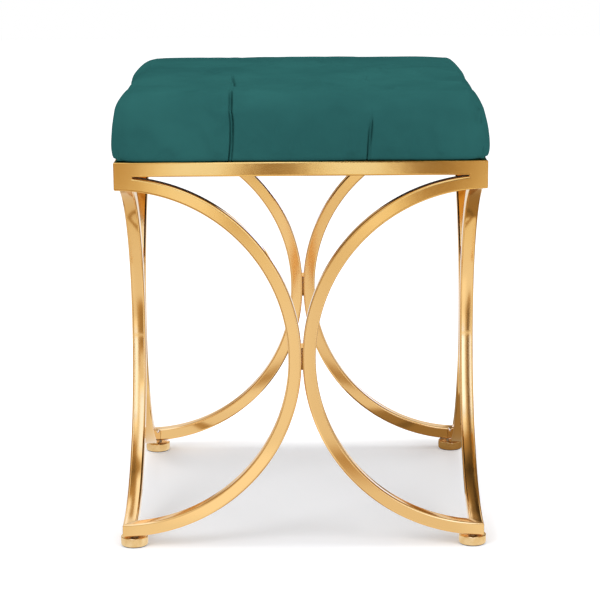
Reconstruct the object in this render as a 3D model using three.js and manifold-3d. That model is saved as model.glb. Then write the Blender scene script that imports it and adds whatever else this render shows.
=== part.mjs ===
// A square upholstered stool: a tufted cushion on a frame of bent square tubes.
// Millimetres, +Z up. The origin is on the floor, under the middle of the stool.
// The front faces -Y. What stands on a side or at a corner is built once, for the front or for
// the front left corner, and turned about Z for the other three.
import * as THREE from "three";
import { mergeVertices } from "three/addons/utils/BufferGeometryUtils.js";
import Module from "manifold-3d";

const wasm = await Module();
wasm.setup();

// The frame. Widths are over the outer faces, and the same front to back.
const frameWidth = 400;
const half = frameWidth / 2;
const legBottom = 12; // the underside of the arcs, which the feet hold off the floor
const legTop = 414.8; // the upper side of the arcs, where they meet the rails
const legMiddle = (legTop + legBottom) / 2;
const crownGap = 0.8; // between the two arcs of a side, where they nearly touch
const mitreGap = 0.15; // each mitred end is ground back this much for its weld
const seatGap = 0.2; // between pieces that rest on each other
const arcTube = { inPlane: 14.5, across: 15.5, wall: 1.2, corner: 1.8, cornerSteps: 1 };
const railTube = { inPlane: 16, across: 16, wall: 1.2, corner: 1.6, cornerSteps: 2 };
const arcRadius = half - crownGap / 2; // of the arc's outer face
const crownStraight = legTop - legBottom - 2 * arcRadius; // the short upright at mid height
const arcSteps = 33;
const railBottom = legTop + seatGap;
const railTop = railBottom + railTube.inPlane;
const weld = { height: 25, setBack: 1.6, clearance: 0.1, steps: 8 };

// The feet, which screw into rivet nuts in the underside of the bottom corners.
const foot = { radius: 15.25, height: 10.9, fromFace: 12, lowerBevel: 1.4, upperBevel: 0.9, sides: 28 };
const stud = { radius: 2.5, bottom: 3.4, top: 24, point: 0.6, sides: 20 };
const studBore = 2.56; // the bore round the stud, in the foot and in the rivet nut
const rivetNut = { flange: 5.2, flangeBottom: 11.1, flangeTop: 11.9, body: 3.15, top: 23, wallHole: 3.3 };

// The cushion: cover, pad and board, from the outside in.
const cushion = { half: 199, bottom: railTop + seatGap, top: 504.6, edge: 21.5 };
const crown = 1.6; // the rise of the top towards the middle
const droop = { depth: 7, power: 6 }; // of the corners of the top; the power keeps it close to them
const bulge = { reach: 4.3, at: 0.2 }; // the sides stand out most at this part of their height
const lean = 5.2; // how far the sides have come in at the top
const rollUnder = { depth: 3.2, height: 3.4 }; // of the sides at the bottom
const tuft = { offset: 74, depth: 5.5, reach: 19 }; // the four tufts lie this far from the middle
const pleat = { top: 0.8, shoulder: 5, side: 0.8, reach: 15 }; // depths, and the half width of the dip
const hem = { width: 17.5, thickness: 1.2 };
const board = { half: 195, thickness: 12, corner: 20 };
const boardBottom = cushion.bottom + hem.thickness + seatGap;
const boardTop = boardBottom + board.thickness;
const pad = { half: 195, bottom: boardTop + seatGap / 2, top: 489, edge: 20 };
const padClearance = 0.4; // between the pad and the cover that is drawn over it
const twine = { radius: 0.8, top: 493, hole: 1.3, holeTop: 494.4, sides: 8 };
const dustCover = { half: half - hem.width - 0.4, thickness: 0.5 };

// What fastens the cushion to the frame.
const plate = { leg: 52, end: 7, thickness: 3, hole: 3.4, holeFromCorner: 18 };
const fixing = half - railTube.across - mitreGap - plate.holeFromCorner; // each way from the middle
const plateBottom = railTop - plate.thickness;
const washer = { outer: 7.5, inner: 3.2, thickness: 1.2 };
const washerTop = plateBottom - seatGap / 2;
const screw = { shank: 2.9, length: 17.6, point: 0.8, head: 5.8, headHeight: 3.4, headEdge: 1.2 };
const screwSeat = washerTop - washer.thickness - seatGap / 2;
const teeNut = { barrel: 3.9, bore: 3.05, depth: 10, flange: 9, flangeThickness: 1.2 };
const teeNutRoom = 0.2; // round the tee nut in the board
const fastenerSides = 16;

const cornerSigns = [[-1, -1], [1, -1], [1, 1], [-1, 1]]; // front left, front right, rear right, rear left
const overshoot = 1; // how far a cutter stands out of what it cuts
const mitreReach = 60; // half the length of the cutter that mitres an end
const pleatStep = 14; // the grid lines of the cover lie this far on either side of a pleat
const boardCornerSteps = 5;

// Colours, as sRGB, and finishes.
const finishes = {
  gold: { color: 0xd9a65b, roughness: 0.38, metalness: 1 },
  steel: { color: 0xb4b6b8, roughness: 0.35, metalness: 1 },
  velvet: { color: 0x2b6462, roughness: 0.95, metalness: 0 },
  foam: { color: 0xe9dfb8, roughness: 1, metalness: 0 },
  plywood: { color: 0xc79f6b, roughness: 0.7, metalness: 0 },
  lining: { color: 0x1c1c1d, roughness: 0.9, metalness: 0 },
  twine: { color: 0xe8e4d8, roughness: 0.9, metalness: 0 },
};

// Adds a named piece in one of the finishes above.
function addPiece(parent, name, geometry, finish) {
  const mesh = new THREE.Mesh(geometry, new THREE.MeshStandardMaterial(finishes[finish]));
  mesh.name = name;
  parent.add(mesh);
}

// A geometry as a solid that can be cut, and a solid back as a geometry.
function toSolid(geometry) {
  const bare = geometry.clone();
  bare.deleteAttribute("normal");
  bare.deleteAttribute("uv");
  const merged = mergeVertices(bare, 1e-4);
  return new wasm.Manifold(new wasm.Mesh({
    numProp: 3,
    vertProperties: new Float32Array(merged.attributes.position.array),
    triVerts: new Uint32Array(merged.index.array),
  }));
}

function toGeometry(solid) {
  const mesh = solid.getMesh();
  const geometry = new THREE.BufferGeometry();
  geometry.setAttribute("position", new THREE.BufferAttribute(new Float32Array(mesh.vertProperties), 3));
  geometry.setIndex(new THREE.BufferAttribute(new Uint32Array(mesh.triVerts), 1));
  geometry.computeVertexNormals();
  return geometry;
}

// A geometry with others cut out of it.
function cut(geometry, ...tools) {
  return toGeometry(tools.reduce((left, tool) => left.subtract(toSolid(tool)), toSolid(geometry)));
}

// An upright round bar between two heights.
function bar(radius, bottom, top, sides, x = 0, y = 0) {
  const height = top - bottom;
  return new THREE.CylinderGeometry(radius, radius, height, sides)
    .rotateX(Math.PI / 2)
    .translate(x, y, bottom + height / 2);
}

// A profile of [radius, height] points, turned about Z.
function turned(profile, sides) {
  const outline = profile.map(([r, z]) => new THREE.Vector2(r, z));
  return new THREE.LatheGeometry(outline, sides).rotateX(Math.PI / 2);
}

// A flat plate between two heights, from a shape or from its outline's points.
function slab(outline, bottom, thickness) {
  const shape = outline instanceof THREE.Shape ? outline : new THREE.Shape(outline);
  const plate = new THREE.ExtrudeGeometry(shape, { depth: thickness, bevelEnabled: false });
  return plate.translate(0, 0, bottom);
}

// The points of a rectangle with rounded corners, centred on the origin.
function roundedRectangle(width, height, radius, cornerSteps) {
  const signs = [[1, 1], [-1, 1], [-1, -1], [1, -1]];
  return signs.flatMap(([sx, sy], quarter) => Array.from({ length: cornerSteps + 1 }, (_, step) => {
    const angle = (quarter + step / cornerSteps) * Math.PI / 2;
    const x = sx * (width / 2 - radius) + radius * Math.cos(angle);
    const y = sy * (height / 2 - radius) + radius * Math.sin(angle);
    return new THREE.Vector2(x, y);
  }));
}

// A round hole for a shape, at a place.
function roundHole(radius, x, y) {
  return new THREE.Path().absarc(x, y, radius, 0, 2 * Math.PI, true);
}

// The section of a square tube: rounded outside, square inside.
function tubeSection(tube) {
  const shape = new THREE.Shape(roundedRectangle(tube.inPlane, tube.across, tube.corner, tube.cornerSteps));
  const x = tube.inPlane / 2 - tube.wall;
  const y = tube.across / 2 - tube.wall;
  const inside = [[-x, -y], [-x, y], [x, y], [x, -y]];
  shape.holes.push(new THREE.Path(inside.map(([px, py]) => new THREE.Vector2(px, py))));
  return shape;
}

// What a mitre takes off an end at the left of the front: all that lies behind the upright plane
// through the corner at 45 degrees. sign -1 is the end at the right.
function mitreWaste(sign, bottom, top) {
  const edge = -half + mitreGap;
  const outline = [
    new THREE.Vector2(sign * (edge - mitreReach), -half - mitreReach),
    new THREE.Vector2(sign * (edge + mitreReach), -half + mitreReach),
    new THREE.Vector2(sign * (edge - mitreReach), -half + mitreReach),
  ];
  return slab(outline, bottom, top - bottom);
}

// The centre line of an arc of the front: level at the left corner, upright at the middle of the
// side, and level again at the corner below. Its section never twists.
class ArcLine extends THREE.Curve {
  constructor() {
    super();
    this.radius = arcRadius - arcTube.inPlane / 2;
    this.quarter = this.radius * Math.PI / 2;
  }

  // How far along the crown's straight a point is, and the angle of the bend there.
  station(t) {
    const run = t * (2 * this.quarter + crownStraight);
    const straight = Math.min(Math.max(run - this.quarter, 0), crownStraight);
    return { straight, angle: Math.PI / 2 - (run - straight) / this.radius };
  }

  getPoint(t, target = new THREE.Vector3()) {
    const { straight, angle } = this.station(t);
    const x = -half + this.radius * Math.cos(angle);
    const z = legMiddle + crownStraight / 2 - straight + this.radius * Math.sin(angle);
    return target.set(x, -half + arcTube.across / 2, z);
  }

  computeFrenetFrames(steps) {
    const angles = Array.from({ length: steps + 1 }, (_, i) => this.station(i / steps).angle);
    return {
      tangents: angles.map((a) => new THREE.Vector3(Math.sin(a), 0, -Math.cos(a))),
      normals: angles.map((a) => new THREE.Vector3(Math.cos(a), 0, Math.sin(a))),
      binormals: angles.map(() => new THREE.Vector3(0, -1, 0)),
    };
  }
}

// A bent tube of the front, mitred at both ends, with half of the rivet nut's hole in its lower
// end. The right arc is the left one turned over about the side's own axis.
function arc(isRight) {
  const section = tubeSection(arcTube);
  const bent = new THREE.ExtrudeGeometry(section, { steps: arcSteps, extrudePath: new ArcLine() });
  const mitred = cut(bent, mitreWaste(1, 0, railTop));
  if (isRight) mitred.translate(0, 0, -legMiddle).rotateY(Math.PI).translate(0, 0, legMiddle);
  const footX = (isRight ? 1 : -1) * (half - foot.fromFace);
  const footY = foot.fromFace - half;
  const holeTop = legBottom + 2 * arcTube.wall;
  return cut(mitred, bar(rivetNut.wallHole, legBottom - overshoot, holeTop, fastenerSides, footX, footY));
}

// A rail of the front: a straight tube, mitred at both ends.
function rail() {
  const tube = new THREE.ExtrudeGeometry(tubeSection(railTube), { depth: frameWidth, bevelEnabled: false })
    .rotateY(Math.PI / 2)
    .translate(-half, -half + railTube.across / 2, railBottom + railTube.inPlane / 2);
  const ends = [1, -1].map((sign) => mitreWaste(sign, railBottom - overshoot, railTop + overshoot));
  return cut(tube, ...ends);
}

// The weld between the two arcs of a side, set back from their faces. It is hollow on both
// flanks, because the arcs curve away from each other above and below.
function sideWeld() {
  const flank = Array.from({ length: weld.steps + 1 }, (_, i) => {
    const z = weld.height * (i / weld.steps - 0.5);
    const bend = Math.max(Math.abs(z) - crownStraight / 2, 0);
    return new THREE.Vector2(half - Math.sqrt(arcRadius ** 2 - bend ** 2) - weld.clearance, z);
  });
  const otherFlank = flank.map((p) => new THREE.Vector2(-p.x, p.y)).reverse();
  const depth = arcTube.across - 2 * weld.setBack;
  return slab([...flank, ...otherFlank], 0, depth)
    .rotateX(Math.PI / 2)
    .translate(0, -half + weld.setBack + depth, legMiddle);
}

// A foot: a turned disc with bevelled edges and a blind bore for its stud.
function footDisc() {
  const { radius, height, lowerBevel, upperBevel, sides } = foot;
  const boreBottom = stud.bottom - seatGap;
  return turned([
    [0, 0],
    [radius - lowerBevel, 0],
    [radius, lowerBevel],
    [radius, height - upperBevel],
    [radius - upperBevel, height],
    [studBore, height],
    [studBore, boreBottom],
    [0, boreBottom],
  ], sides);
}

function footStud() {
  return turned([
    [0, stud.bottom],
    [stud.radius, stud.bottom],
    [stud.radius, stud.top - stud.point],
    [stud.radius - stud.point, stud.top],
    [0, stud.top],
  ], stud.sides);
}

// A rivet nut: its flange bears on the underside of the arcs, and its body stands inside them.
function footNut() {
  const { flange, flangeBottom, flangeTop, body, top } = rivetNut;
  return turned([
    [studBore, flangeBottom],
    [flange, flangeBottom],
    [flange, flangeTop],
    [body, flangeTop],
    [body, top],
    [studBore, top],
    [studBore, flangeBottom],
  ], stud.sides);
}

// A corner plate, flush with the rails' upper faces, in the front left inner corner.
function cornerPlate() {
  const { leg, end, thickness, hole, holeFromCorner } = plate;
  const outline = [[0, 0], [leg, 0], [leg, end], [end, leg], [0, leg]];
  const shape = new THREE.Shape(outline.map(([x, y]) => new THREE.Vector2(x, y)));
  shape.holes.push(roundHole(hole, holeFromCorner, holeFromCorner));
  const inner = railTube.across + mitreGap - half;
  return slab(shape, plateBottom, thickness).translate(inner, inner, 0);
}

function cushionScrew() {
  const { shank, length, point, head, headHeight, headEdge } = screw;
  return turned([
    [0, screwSeat - headHeight],
    [head - headEdge, screwSeat - headHeight],
    [head, screwSeat - headHeight + headEdge],
    [head, screwSeat],
    [shank, screwSeat],
    [shank, screwSeat + length - point],
    [shank - point, screwSeat + length],
    [0, screwSeat + length],
  ], fastenerSides);
}

function screwWasher() {
  const { outer, inner, thickness } = washer;
  return turned([
    [inner, washerTop - thickness],
    [outer, washerTop - thickness],
    [outer, washerTop],
    [inner, washerTop],
    [inner, washerTop - thickness],
  ], fastenerSides);
}

// A tee nut: a threaded barrel in the board, under a flange let in flush with its upper face.
function boardNut() {
  const { barrel, bore, depth, flange, flangeThickness } = teeNut;
  return turned([
    [bore, boardTop - depth],
    [barrel, boardTop - depth],
    [barrel, boardTop - flangeThickness],
    [flange, boardTop - flangeThickness],
    [flange, boardTop],
    [bore, boardTop],
    [bore, boardTop - depth],
  ], fastenerSides);
}

// A block with rounded upright and upper edges: each point of a gridded box is drawn on to the
// radius round the box that lies one radius further in. The grid has its lines at both signs of
// the given distances, and at the given heights. shape(point, normal) then moves each point.
function paddedBlock(size, lines, heights, shape = () => {}) {
  const spans = lines.length - 1;
  const rows = heights.length - 1;
  const geometry = new THREE.BoxGeometry(2, 2, 2, 2 * spans, 2 * spans, rows);
  const positions = geometry.attributes.position;
  const reach = size.half - size.edge;
  const coreLow = new THREE.Vector3(-reach, -reach, size.bottom);
  const coreHigh = new THREE.Vector3(reach, reach, size.top - size.edge);
  const place = (value) => Math.sign(value) * lines[Math.round(Math.abs(value) * spans)];
  const point = new THREE.Vector3();
  for (let i = 0; i < positions.count; i++) {
    point.fromBufferAttribute(positions, i);
    point.set(place(point.x), place(point.y), heights[Math.round((point.z + 1) / 2 * rows)]);
    const core = point.clone().clamp(coreLow, coreHigh);
    const normal = point.clone().sub(core).normalize();
    point.copy(core).addScaledVector(normal, size.edge);
    shape(point, normal);
    positions.setXYZ(i, point.x, point.y, point.z);
  }
  return geometry;
}

// How far the sides of the cushion stand out at a part of their height, from 0 to 1: they bulge low
// down, lean in towards the top and roll under at the bottom.
function sideReach(level, rise) {
  const above = (level - bulge.at) / (1 - bulge.at);
  const below = (bulge.at - level) / bulge.at / 2;
  const bulged = bulge.reach * Math.cos(Math.min(Math.max(above, below), 1) * Math.PI / 2) ** 2;
  const under = Math.max(1 - rise / rollUnder.height, 0);
  return bulged - lean * level ** 2 - rollUnder.depth * (1 - Math.sqrt(1 - under ** 2));
}

// The form of the cushion: a crowned top with drooping corners, sides as above, four sewn tufts, and
// shallow valleys that run from tuft to tuft, deepest where they cross the shoulders.
function tuftedForm(point, normal) {
  const dip = (distance, reach) => Math.exp(-((distance / reach) ** 2));
  const { x, y, z } = point;
  const up = Math.max(normal.z, 0);
  const rise = z - cushion.bottom;
  const out = sideReach(rise / (cushion.top - cushion.bottom), rise);
  const offX = Math.abs(x) - tuft.offset;
  const offY = Math.abs(y) - tuft.offset;
  const depth = pleat.side * (1 - up) + pleat.top * up + pleat.shoulder * 4 * up * (1 - up);
  const pleats = depth * Math.max(dip(offX, pleat.reach), dip(offY, pleat.reach));
  const tufts = tuft.depth * up * dip(Math.hypot(offX, offY), tuft.reach);
  const crowned = crown * (1 - (x / cushion.half) ** 2) * (1 - (y / cushion.half) ** 2);
  const drooped = droop.depth * (Math.abs(x * y) / cushion.half ** 2) ** droop.power;
  point.addScaledVector(normal, -pleats - tufts);
  point.x += normal.x * out;
  point.y += normal.y * out;
  point.z += up * (crowned - drooped);
}

// The velvet cover with its wadding: an open shell, with a hem turned in under the board.
function seatCover() {
  const { edge, bottom, top } = cushion;
  const near = tuft.offset;
  const flatLines = [0, near / 2, near - pleatStep, near, near + pleatStep, near * 1.5, near * 2];
  const lines = [...flatLines, cushion.half - edge, cushion.half - edge / 2, cushion.half];
  const widest = bottom + bulge.at * (top - bottom);
  const rolled = [bottom, bottom + rollUnder.height / 3, bottom + rollUnder.height];
  const heights = [...rolled, widest, (widest + top - edge) / 2, top - edge, top - edge / 2, top];
  const outside = paddedBlock(cushion, lines, heights, tuftedForm);
  const room = {
    half: pad.half + padClearance,
    bottom: boardBottom - seatGap,
    top: pad.top + padClearance,
    edge: pad.edge,
  };
  const inside = paddedBlock(room, padLines(room), padHeights(room));
  const mouth = slab(squareOutline(half - hem.width), bottom - overshoot, hem.thickness + 2 * overshoot);
  return cut(outside, inside, mouth, ...twineHoles(room.top - overshoot, twine.holeTop));
}

function padLines({ half: reach, edge }) {
  return [0, reach - edge, reach - edge / 2, reach];
}

function padHeights({ bottom, top, edge }) {
  return [bottom, top - edge, top - edge / 2, top];
}

function squareOutline(reach) {
  return cornerSigns.map(([x, y]) => new THREE.Vector2(x * reach, y * reach));
}

// Cutters for the twine of the four tufts, between two heights.
function twineHoles(bottom, top) {
  const places = cornerSigns.map(([x, y]) => [x * tuft.offset, y * tuft.offset]);
  return places.map(([x, y]) => bar(twine.hole, bottom, top, twine.sides, x, y));
}

// Cutters on the axes of the four cushion screws.
function fixingHoles(radius, bottom, top) {
  return cornerSigns.map(([x, y]) => bar(radius, bottom, top, fastenerSides, x * fixing, y * fixing));
}

function foamPad() {
  const block = paddedBlock(pad, padLines(pad), padHeights(pad));
  return cut(block, ...twineHoles(pad.bottom - overshoot, pad.top + overshoot));
}

function seatBoard() {
  const { half: reach, corner, thickness } = board;
  const shape = new THREE.Shape(roundedRectangle(2 * reach, 2 * reach, corner, boardCornerSteps));
  const below = boardBottom - overshoot;
  const above = boardTop + overshoot;
  const recessBottom = boardTop - teeNut.flangeThickness - teeNutRoom;
  return cut(
    slab(shape, boardBottom, thickness),
    ...twineHoles(below, above),
    ...fixingHoles(teeNut.barrel + teeNutRoom, below, above),
    ...fixingHoles(teeNut.flange + teeNutRoom, recessBottom, above),
  );
}

// The thin cloth that closes the underside, with holes for the cushion screws.
function boardLining() {
  const shape = new THREE.Shape(squareOutline(dustCover.half));
  shape.holes = cornerSigns.map(([x, y]) => roundHole(plate.hole, x * fixing, y * fixing));
  return slab(shape, cushion.bottom, dustCover.thickness);
}

// The four sides of the frame, each named with the ends that its left and right arcs stand at.
function addSides(stool) {
  const sides = [
    ["front", "left", "right"],
    ["right", "front", "rear"],
    ["rear", "right", "left"],
    ["left", "rear", "front"],
  ];
  const leftArc = arc(false);
  const rightArc = arc(true);
  sides.forEach(([side, leftEnd, rightEnd], quarter) => {
    const group = new THREE.Group();
    group.rotation.z = quarter * Math.PI / 2;
    addPiece(group, side + "_rail", rail(), "gold");
    addPiece(group, side + "_arc_" + leftEnd, leftArc, "gold");
    addPiece(group, side + "_arc_" + rightEnd, rightArc, "gold");
    addPiece(group, side + "_weld", sideWeld(), "gold");
    stool.add(group);
  });
}

// The four corners: a foot with its stud and nut below, and the cushion's fixing above.
function addCorners(stool) {
  const corners = ["front_left", "front_right", "rear_right", "rear_left"];
  corners.forEach((corner, quarter) => {
    const group = new THREE.Group();
    group.rotation.z = quarter * Math.PI / 2;
    const under = new THREE.Group();
    under.position.set(foot.fromFace - half, foot.fromFace - half, 0);
    addPiece(under, corner + "_foot", footDisc(), "gold");
    addPiece(under, corner + "_foot_stud", footStud(), "steel");
    addPiece(under, corner + "_rivet_nut", footNut(), "steel");
    const above = new THREE.Group();
    above.position.set(-fixing, -fixing, 0);
    addPiece(above, corner + "_cushion_screw", cushionScrew(), "steel");
    addPiece(above, corner + "_washer", screwWasher(), "steel");
    addPiece(above, corner + "_tee_nut", boardNut(), "steel");
    addPiece(group, corner + "_corner_plate", cornerPlate(), "gold");
    const thread = bar(twine.radius, boardBottom, twine.top, twine.sides, -tuft.offset, -tuft.offset);
    addPiece(group, corner + "_tufting_twine", thread, "twine");
    group.add(under, above);
    stool.add(group);
  });
}

function addCushion(stool) {
  addPiece(stool, "seat_cover", seatCover(), "velvet");
  addPiece(stool, "foam_pad", foamPad(), "foam");
  addPiece(stool, "seat_board", seatBoard(), "plywood");
  addPiece(stool, "dust_cover", boardLining(), "lining");
}

const stool = new THREE.Group();
addSides(stool);
addCorners(stool);
addCushion(stool);

export default stool;
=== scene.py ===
# %% [markdown]
# # A square stool: a tufted velvet seat on bent gold tubes
#
# The stool was first designed as solids. This script loads those solids as a fixed frame and
# dresses them: every piece that shows gets a fine surface or a finish of its own. Lengths are in
# metres, Z is up, the front faces -Y, and the floor is at height 0.

# %% Load the solids
import math
from contextlib import contextmanager

import bmesh
import bpy
import numpy as np
from mathutils import Matrix, Vector


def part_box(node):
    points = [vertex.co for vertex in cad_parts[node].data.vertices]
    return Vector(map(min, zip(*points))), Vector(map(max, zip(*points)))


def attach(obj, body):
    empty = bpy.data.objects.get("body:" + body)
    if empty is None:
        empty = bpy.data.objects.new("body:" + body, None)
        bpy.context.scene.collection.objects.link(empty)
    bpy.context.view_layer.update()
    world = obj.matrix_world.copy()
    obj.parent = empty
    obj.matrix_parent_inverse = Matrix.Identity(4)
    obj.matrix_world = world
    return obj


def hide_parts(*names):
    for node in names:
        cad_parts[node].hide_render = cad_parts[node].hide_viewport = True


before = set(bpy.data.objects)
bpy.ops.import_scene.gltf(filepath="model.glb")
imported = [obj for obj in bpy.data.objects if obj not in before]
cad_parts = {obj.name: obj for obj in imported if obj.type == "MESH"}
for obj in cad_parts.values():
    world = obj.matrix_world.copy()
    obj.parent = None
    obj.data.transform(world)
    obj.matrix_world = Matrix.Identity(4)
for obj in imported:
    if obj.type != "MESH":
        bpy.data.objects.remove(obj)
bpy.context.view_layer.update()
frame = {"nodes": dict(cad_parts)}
nodes = frame["nodes"]

# %% [markdown]
# ## The driving dimensions
#
# Places come from the solids' own boxes, so that a fine piece always sits where its solid does.
# Only what a box can't tell, such as a wall's thickness, is written down here.

# %% Dimensions
MM = 0.001
RAIL_LOW, RAIL_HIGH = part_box("front_rail")
ARC_LOW, ARC_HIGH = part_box("front_arc_left")
HALF = -RAIL_LOW.y
RAIL_BOTTOM, RAIL_TOP = RAIL_LOW.z, RAIL_HIGH.z
LEG_BOTTOM, LEG_TOP = ARC_LOW.z, ARC_HIGH.z
LEG_MIDDLE = (LEG_BOTTOM + LEG_TOP) / 2
MITRE_GAP = ARC_LOW.x + HALF
WALL = 1.2 * MM
RAIL = {"deep": RAIL_TOP - RAIL_BOTTOM, "across": RAIL_HIGH.y - RAIL_LOW.y,
        "corner": 1.6 * MM, "sunk": 0.0}
TUBE = {"deep": 14.5 * MM, "across": ARC_HIGH.y - ARC_LOW.y,
        "corner": 2.0 * MM, "sunk": 0.158 * MM}
ARC_RADIUS = ARC_HIGH.x + HALF
CROWN_STRAIGHT = LEG_TOP - LEG_BOTTOM - 2 * ARC_RADIUS
SIDES = {
    "front": ("left", "right"),
    "right": ("front", "rear"),
    "rear": ("right", "left"),
    "left": ("rear", "front"),
}
CORNERS = ("front_left", "front_right", "rear_right", "rear_left")


def upright_axis(node):
    """Where the upright axis through the middle of a solid's box stands."""
    low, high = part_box(node)
    return Vector(((low.x + high.x) / 2, (low.y + high.y) / 2, 0))


def add_object(name, data):
    """A new object in the scene."""
    made = bpy.data.objects.new(name, data)
    bpy.context.scene.collection.objects.link(made)
    return made


print("half width", round(HALF, 4), "rails", round(RAIL_BOTTOM, 4), round(RAIL_TOP, 4))
print("arc radius", round(ARC_RADIUS, 4), "straight at mid height", round(CROWN_STRAIGHT, 4))

# %% [markdown]
# ## The camera
#
# The camera was fitted to the edges of the frame in the photograph: a long lens, a little above
# the seat, that looks slightly down. Its axes are worked out from its three turns.

# %% Camera
EYE = Vector((0.01027, -2.41893, 0.76171))
YAW, PITCH, ROLL = -0.0054, 0.2138, -0.0078
LENS, SENSOR = 126.13, 36.0


def camera_axes(yaw, pitch, roll):
    """Right, up and forward of a camera that looks along +Y, turned by yaw, tilted down by pitch
    and rolled about its own line of sight."""
    level_forward = Vector((math.sin(yaw), math.cos(yaw), 0))
    forward = level_forward * math.cos(pitch) - Vector((0, 0, math.sin(pitch)))
    level = Vector((math.cos(yaw), -math.sin(yaw), 0))
    above = level.cross(forward)
    right = level * math.cos(roll) + above * math.sin(roll)
    return right, above * math.cos(roll) - level * math.sin(roll), forward


right, up, forward = camera_axes(YAW, PITCH, ROLL)
camera = add_object("camera", bpy.data.cameras.new("camera"))
camera.matrix_world = Matrix.Translation(EYE) @ Matrix((right, up, -forward)).transposed().to_4x4()
camera.data.lens = LENS
camera.data.sensor_width = SENSOR
bpy.context.scene.camera = camera
bpy.context.scene.view_settings.view_transform = "Standard"
print("camera at", tuple(round(v, 3) for v in EYE))

# %% [markdown]
# ## Writing materials as sums
#
# A procedural material is a formula. To write it as one, a small class wraps an output socket and
# turns + - * / and ** into Math nodes. Any other node comes from one method, which takes the
# node's type, its settings and the values or links of its sockets.


# %% Shader formulas
def arithmetic(operation, swapped=False):
    """The method behind a sign: it adds a Math node, whose two inputs may change places."""
    def method(value, other):
        first, second = (other, value) if swapped else (value, other)
        return value.owner.add("ShaderNodeMath", {"operation": operation}, {0: first, 1: second})

    return method


class Value:
    """One output of a node, with arithmetic."""

    __add__, __radd__ = arithmetic("ADD"), arithmetic("ADD", True)
    __sub__, __rsub__ = arithmetic("SUBTRACT"), arithmetic("SUBTRACT", True)
    __mul__, __rmul__ = arithmetic("MULTIPLY"), arithmetic("MULTIPLY", True)
    __pow__ = arithmetic("POWER")

    def __init__(self, owner, socket):
        self.owner = owner
        self.socket = socket


class Finish:
    """A material, or the world, under construction."""

    def __init__(self, owner):
        owner.use_nodes = True
        self.owner = owner
        self.tree = owner.node_tree
        self.tree.nodes.clear()

    def add(self, kind, settings=None, sockets=None, output=0):
        """Any node: its settings first, then its sockets by name or number, then its output."""
        node = self.tree.nodes.new(kind)
        for name, value in (settings or {}).items():
            setattr(node, name, value)
        for name, value in (sockets or {}).items():
            if isinstance(value, Value):
                self.tree.links.new(value.socket, node.inputs[name])
            else:
                node.inputs[name].default_value = value
        return Value(self, node.outputs[output]) if len(node.outputs) else node

    def place(self):
        """Where a point is, in the piece's own metres."""
        return self.add("ShaderNodeTexCoord", output="Object")

    def along(self, axis, vector=None):
        """One coordinate of a vector, or else of the place."""
        return self.add("ShaderNodeSeparateXYZ", sockets={0: vector or self.place()}, output=axis)

    def noise(self, size, detail=2.0, stretch=(1, 1, 1)):
        """A cloudy pattern from 0 to 1 whose patches are about as large as size."""
        spread = self.add("ShaderNodeMapping", sockets={"Vector": self.place(), "Scale": stretch})
        sockets = {"Vector": spread, "Scale": 1 / size, "Detail": detail}
        return self.add("ShaderNodeTexNoise", sockets=sockets)

    def ramp(self, value, low, high):
        """0 below low, 1 above high, and a smooth slope between them."""
        sockets = {"Value": value, "From Min": low, "From Max": high}
        return self.add("ShaderNodeMapRange", {"interpolation_type": "SMOOTHSTEP"}, sockets)

    def clouds(self, size, detail=2.0):
        """The same with more contrast: the middle of the noise's range becomes all of it."""
        return self.ramp(self.noise(size, detail), 0.3, 0.7)

    def mix(self, factor, first, second):
        """A colour between two colours. The node's colour sockets are numbers 6, 7 and 2."""
        sockets = {0: factor, 6: colour(first), 7: colour(second)}
        return self.add("ShaderNodeMix", {"data_type": "RGBA"}, sockets, 2)

    def bump(self, height, depth, strength=1.0, normal=None):
        """A normal that shows a height pattern whose relief is depth metres."""
        sockets = {"Height": height, "Distance": depth, "Strength": strength}
        if normal is not None:
            sockets["Normal"] = normal
        return self.add("ShaderNodeBump", sockets=sockets)

    def surface(self, **sockets):
        """The principled surface, joined to the output. Underscores stand for spaces."""
        named = {name.replace("_", " ").title().replace("Ior", "IOR"): value
                 for name, value in sockets.items()}
        shader = self.add("ShaderNodeBsdfPrincipled", sockets=named)
        self.add("ShaderNodeOutputMaterial", sockets={"Surface": shader})
        return self.owner


def colour(value):
    """An sRGB colour of three numbers from 0 to 255 as the linear colour that sockets take."""
    if isinstance(value, Value):
        return value
    shares = np.asarray(value, float) / 255
    linear = np.where(shares <= 0.04045, shares / 12.92, ((shares + 0.055) / 1.055) ** 2.4)
    return (*linear.tolist(), 1.0)


def material(name):
    """A new material, still empty."""
    return Finish(bpy.data.materials.new(name))


# %% [markdown]
# ## The studio
#
# A packshot: white all round, with soft light and a pale floor that keeps a faint shadow. The
# white comes from Is Camera Ray, where a strength of 1 is white, so the lamps can stay low enough
# for colours to render as they are written. Reflections see a room instead: white, with upright
# stripes ahead that are brighter or browner, dim walls, and less light overhead, underneath and at
# the rear right. That draws brown and cream streaks along the gold. Polished gold looks like gold
# only when it has a room to reflect.
#
# The room is a function of the direction (x, y, z). Each stripe is a patch of it, written as (its
# gain, from which x to which x it reaches, the z over which it appears and the z over which it
# fades out).

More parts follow.
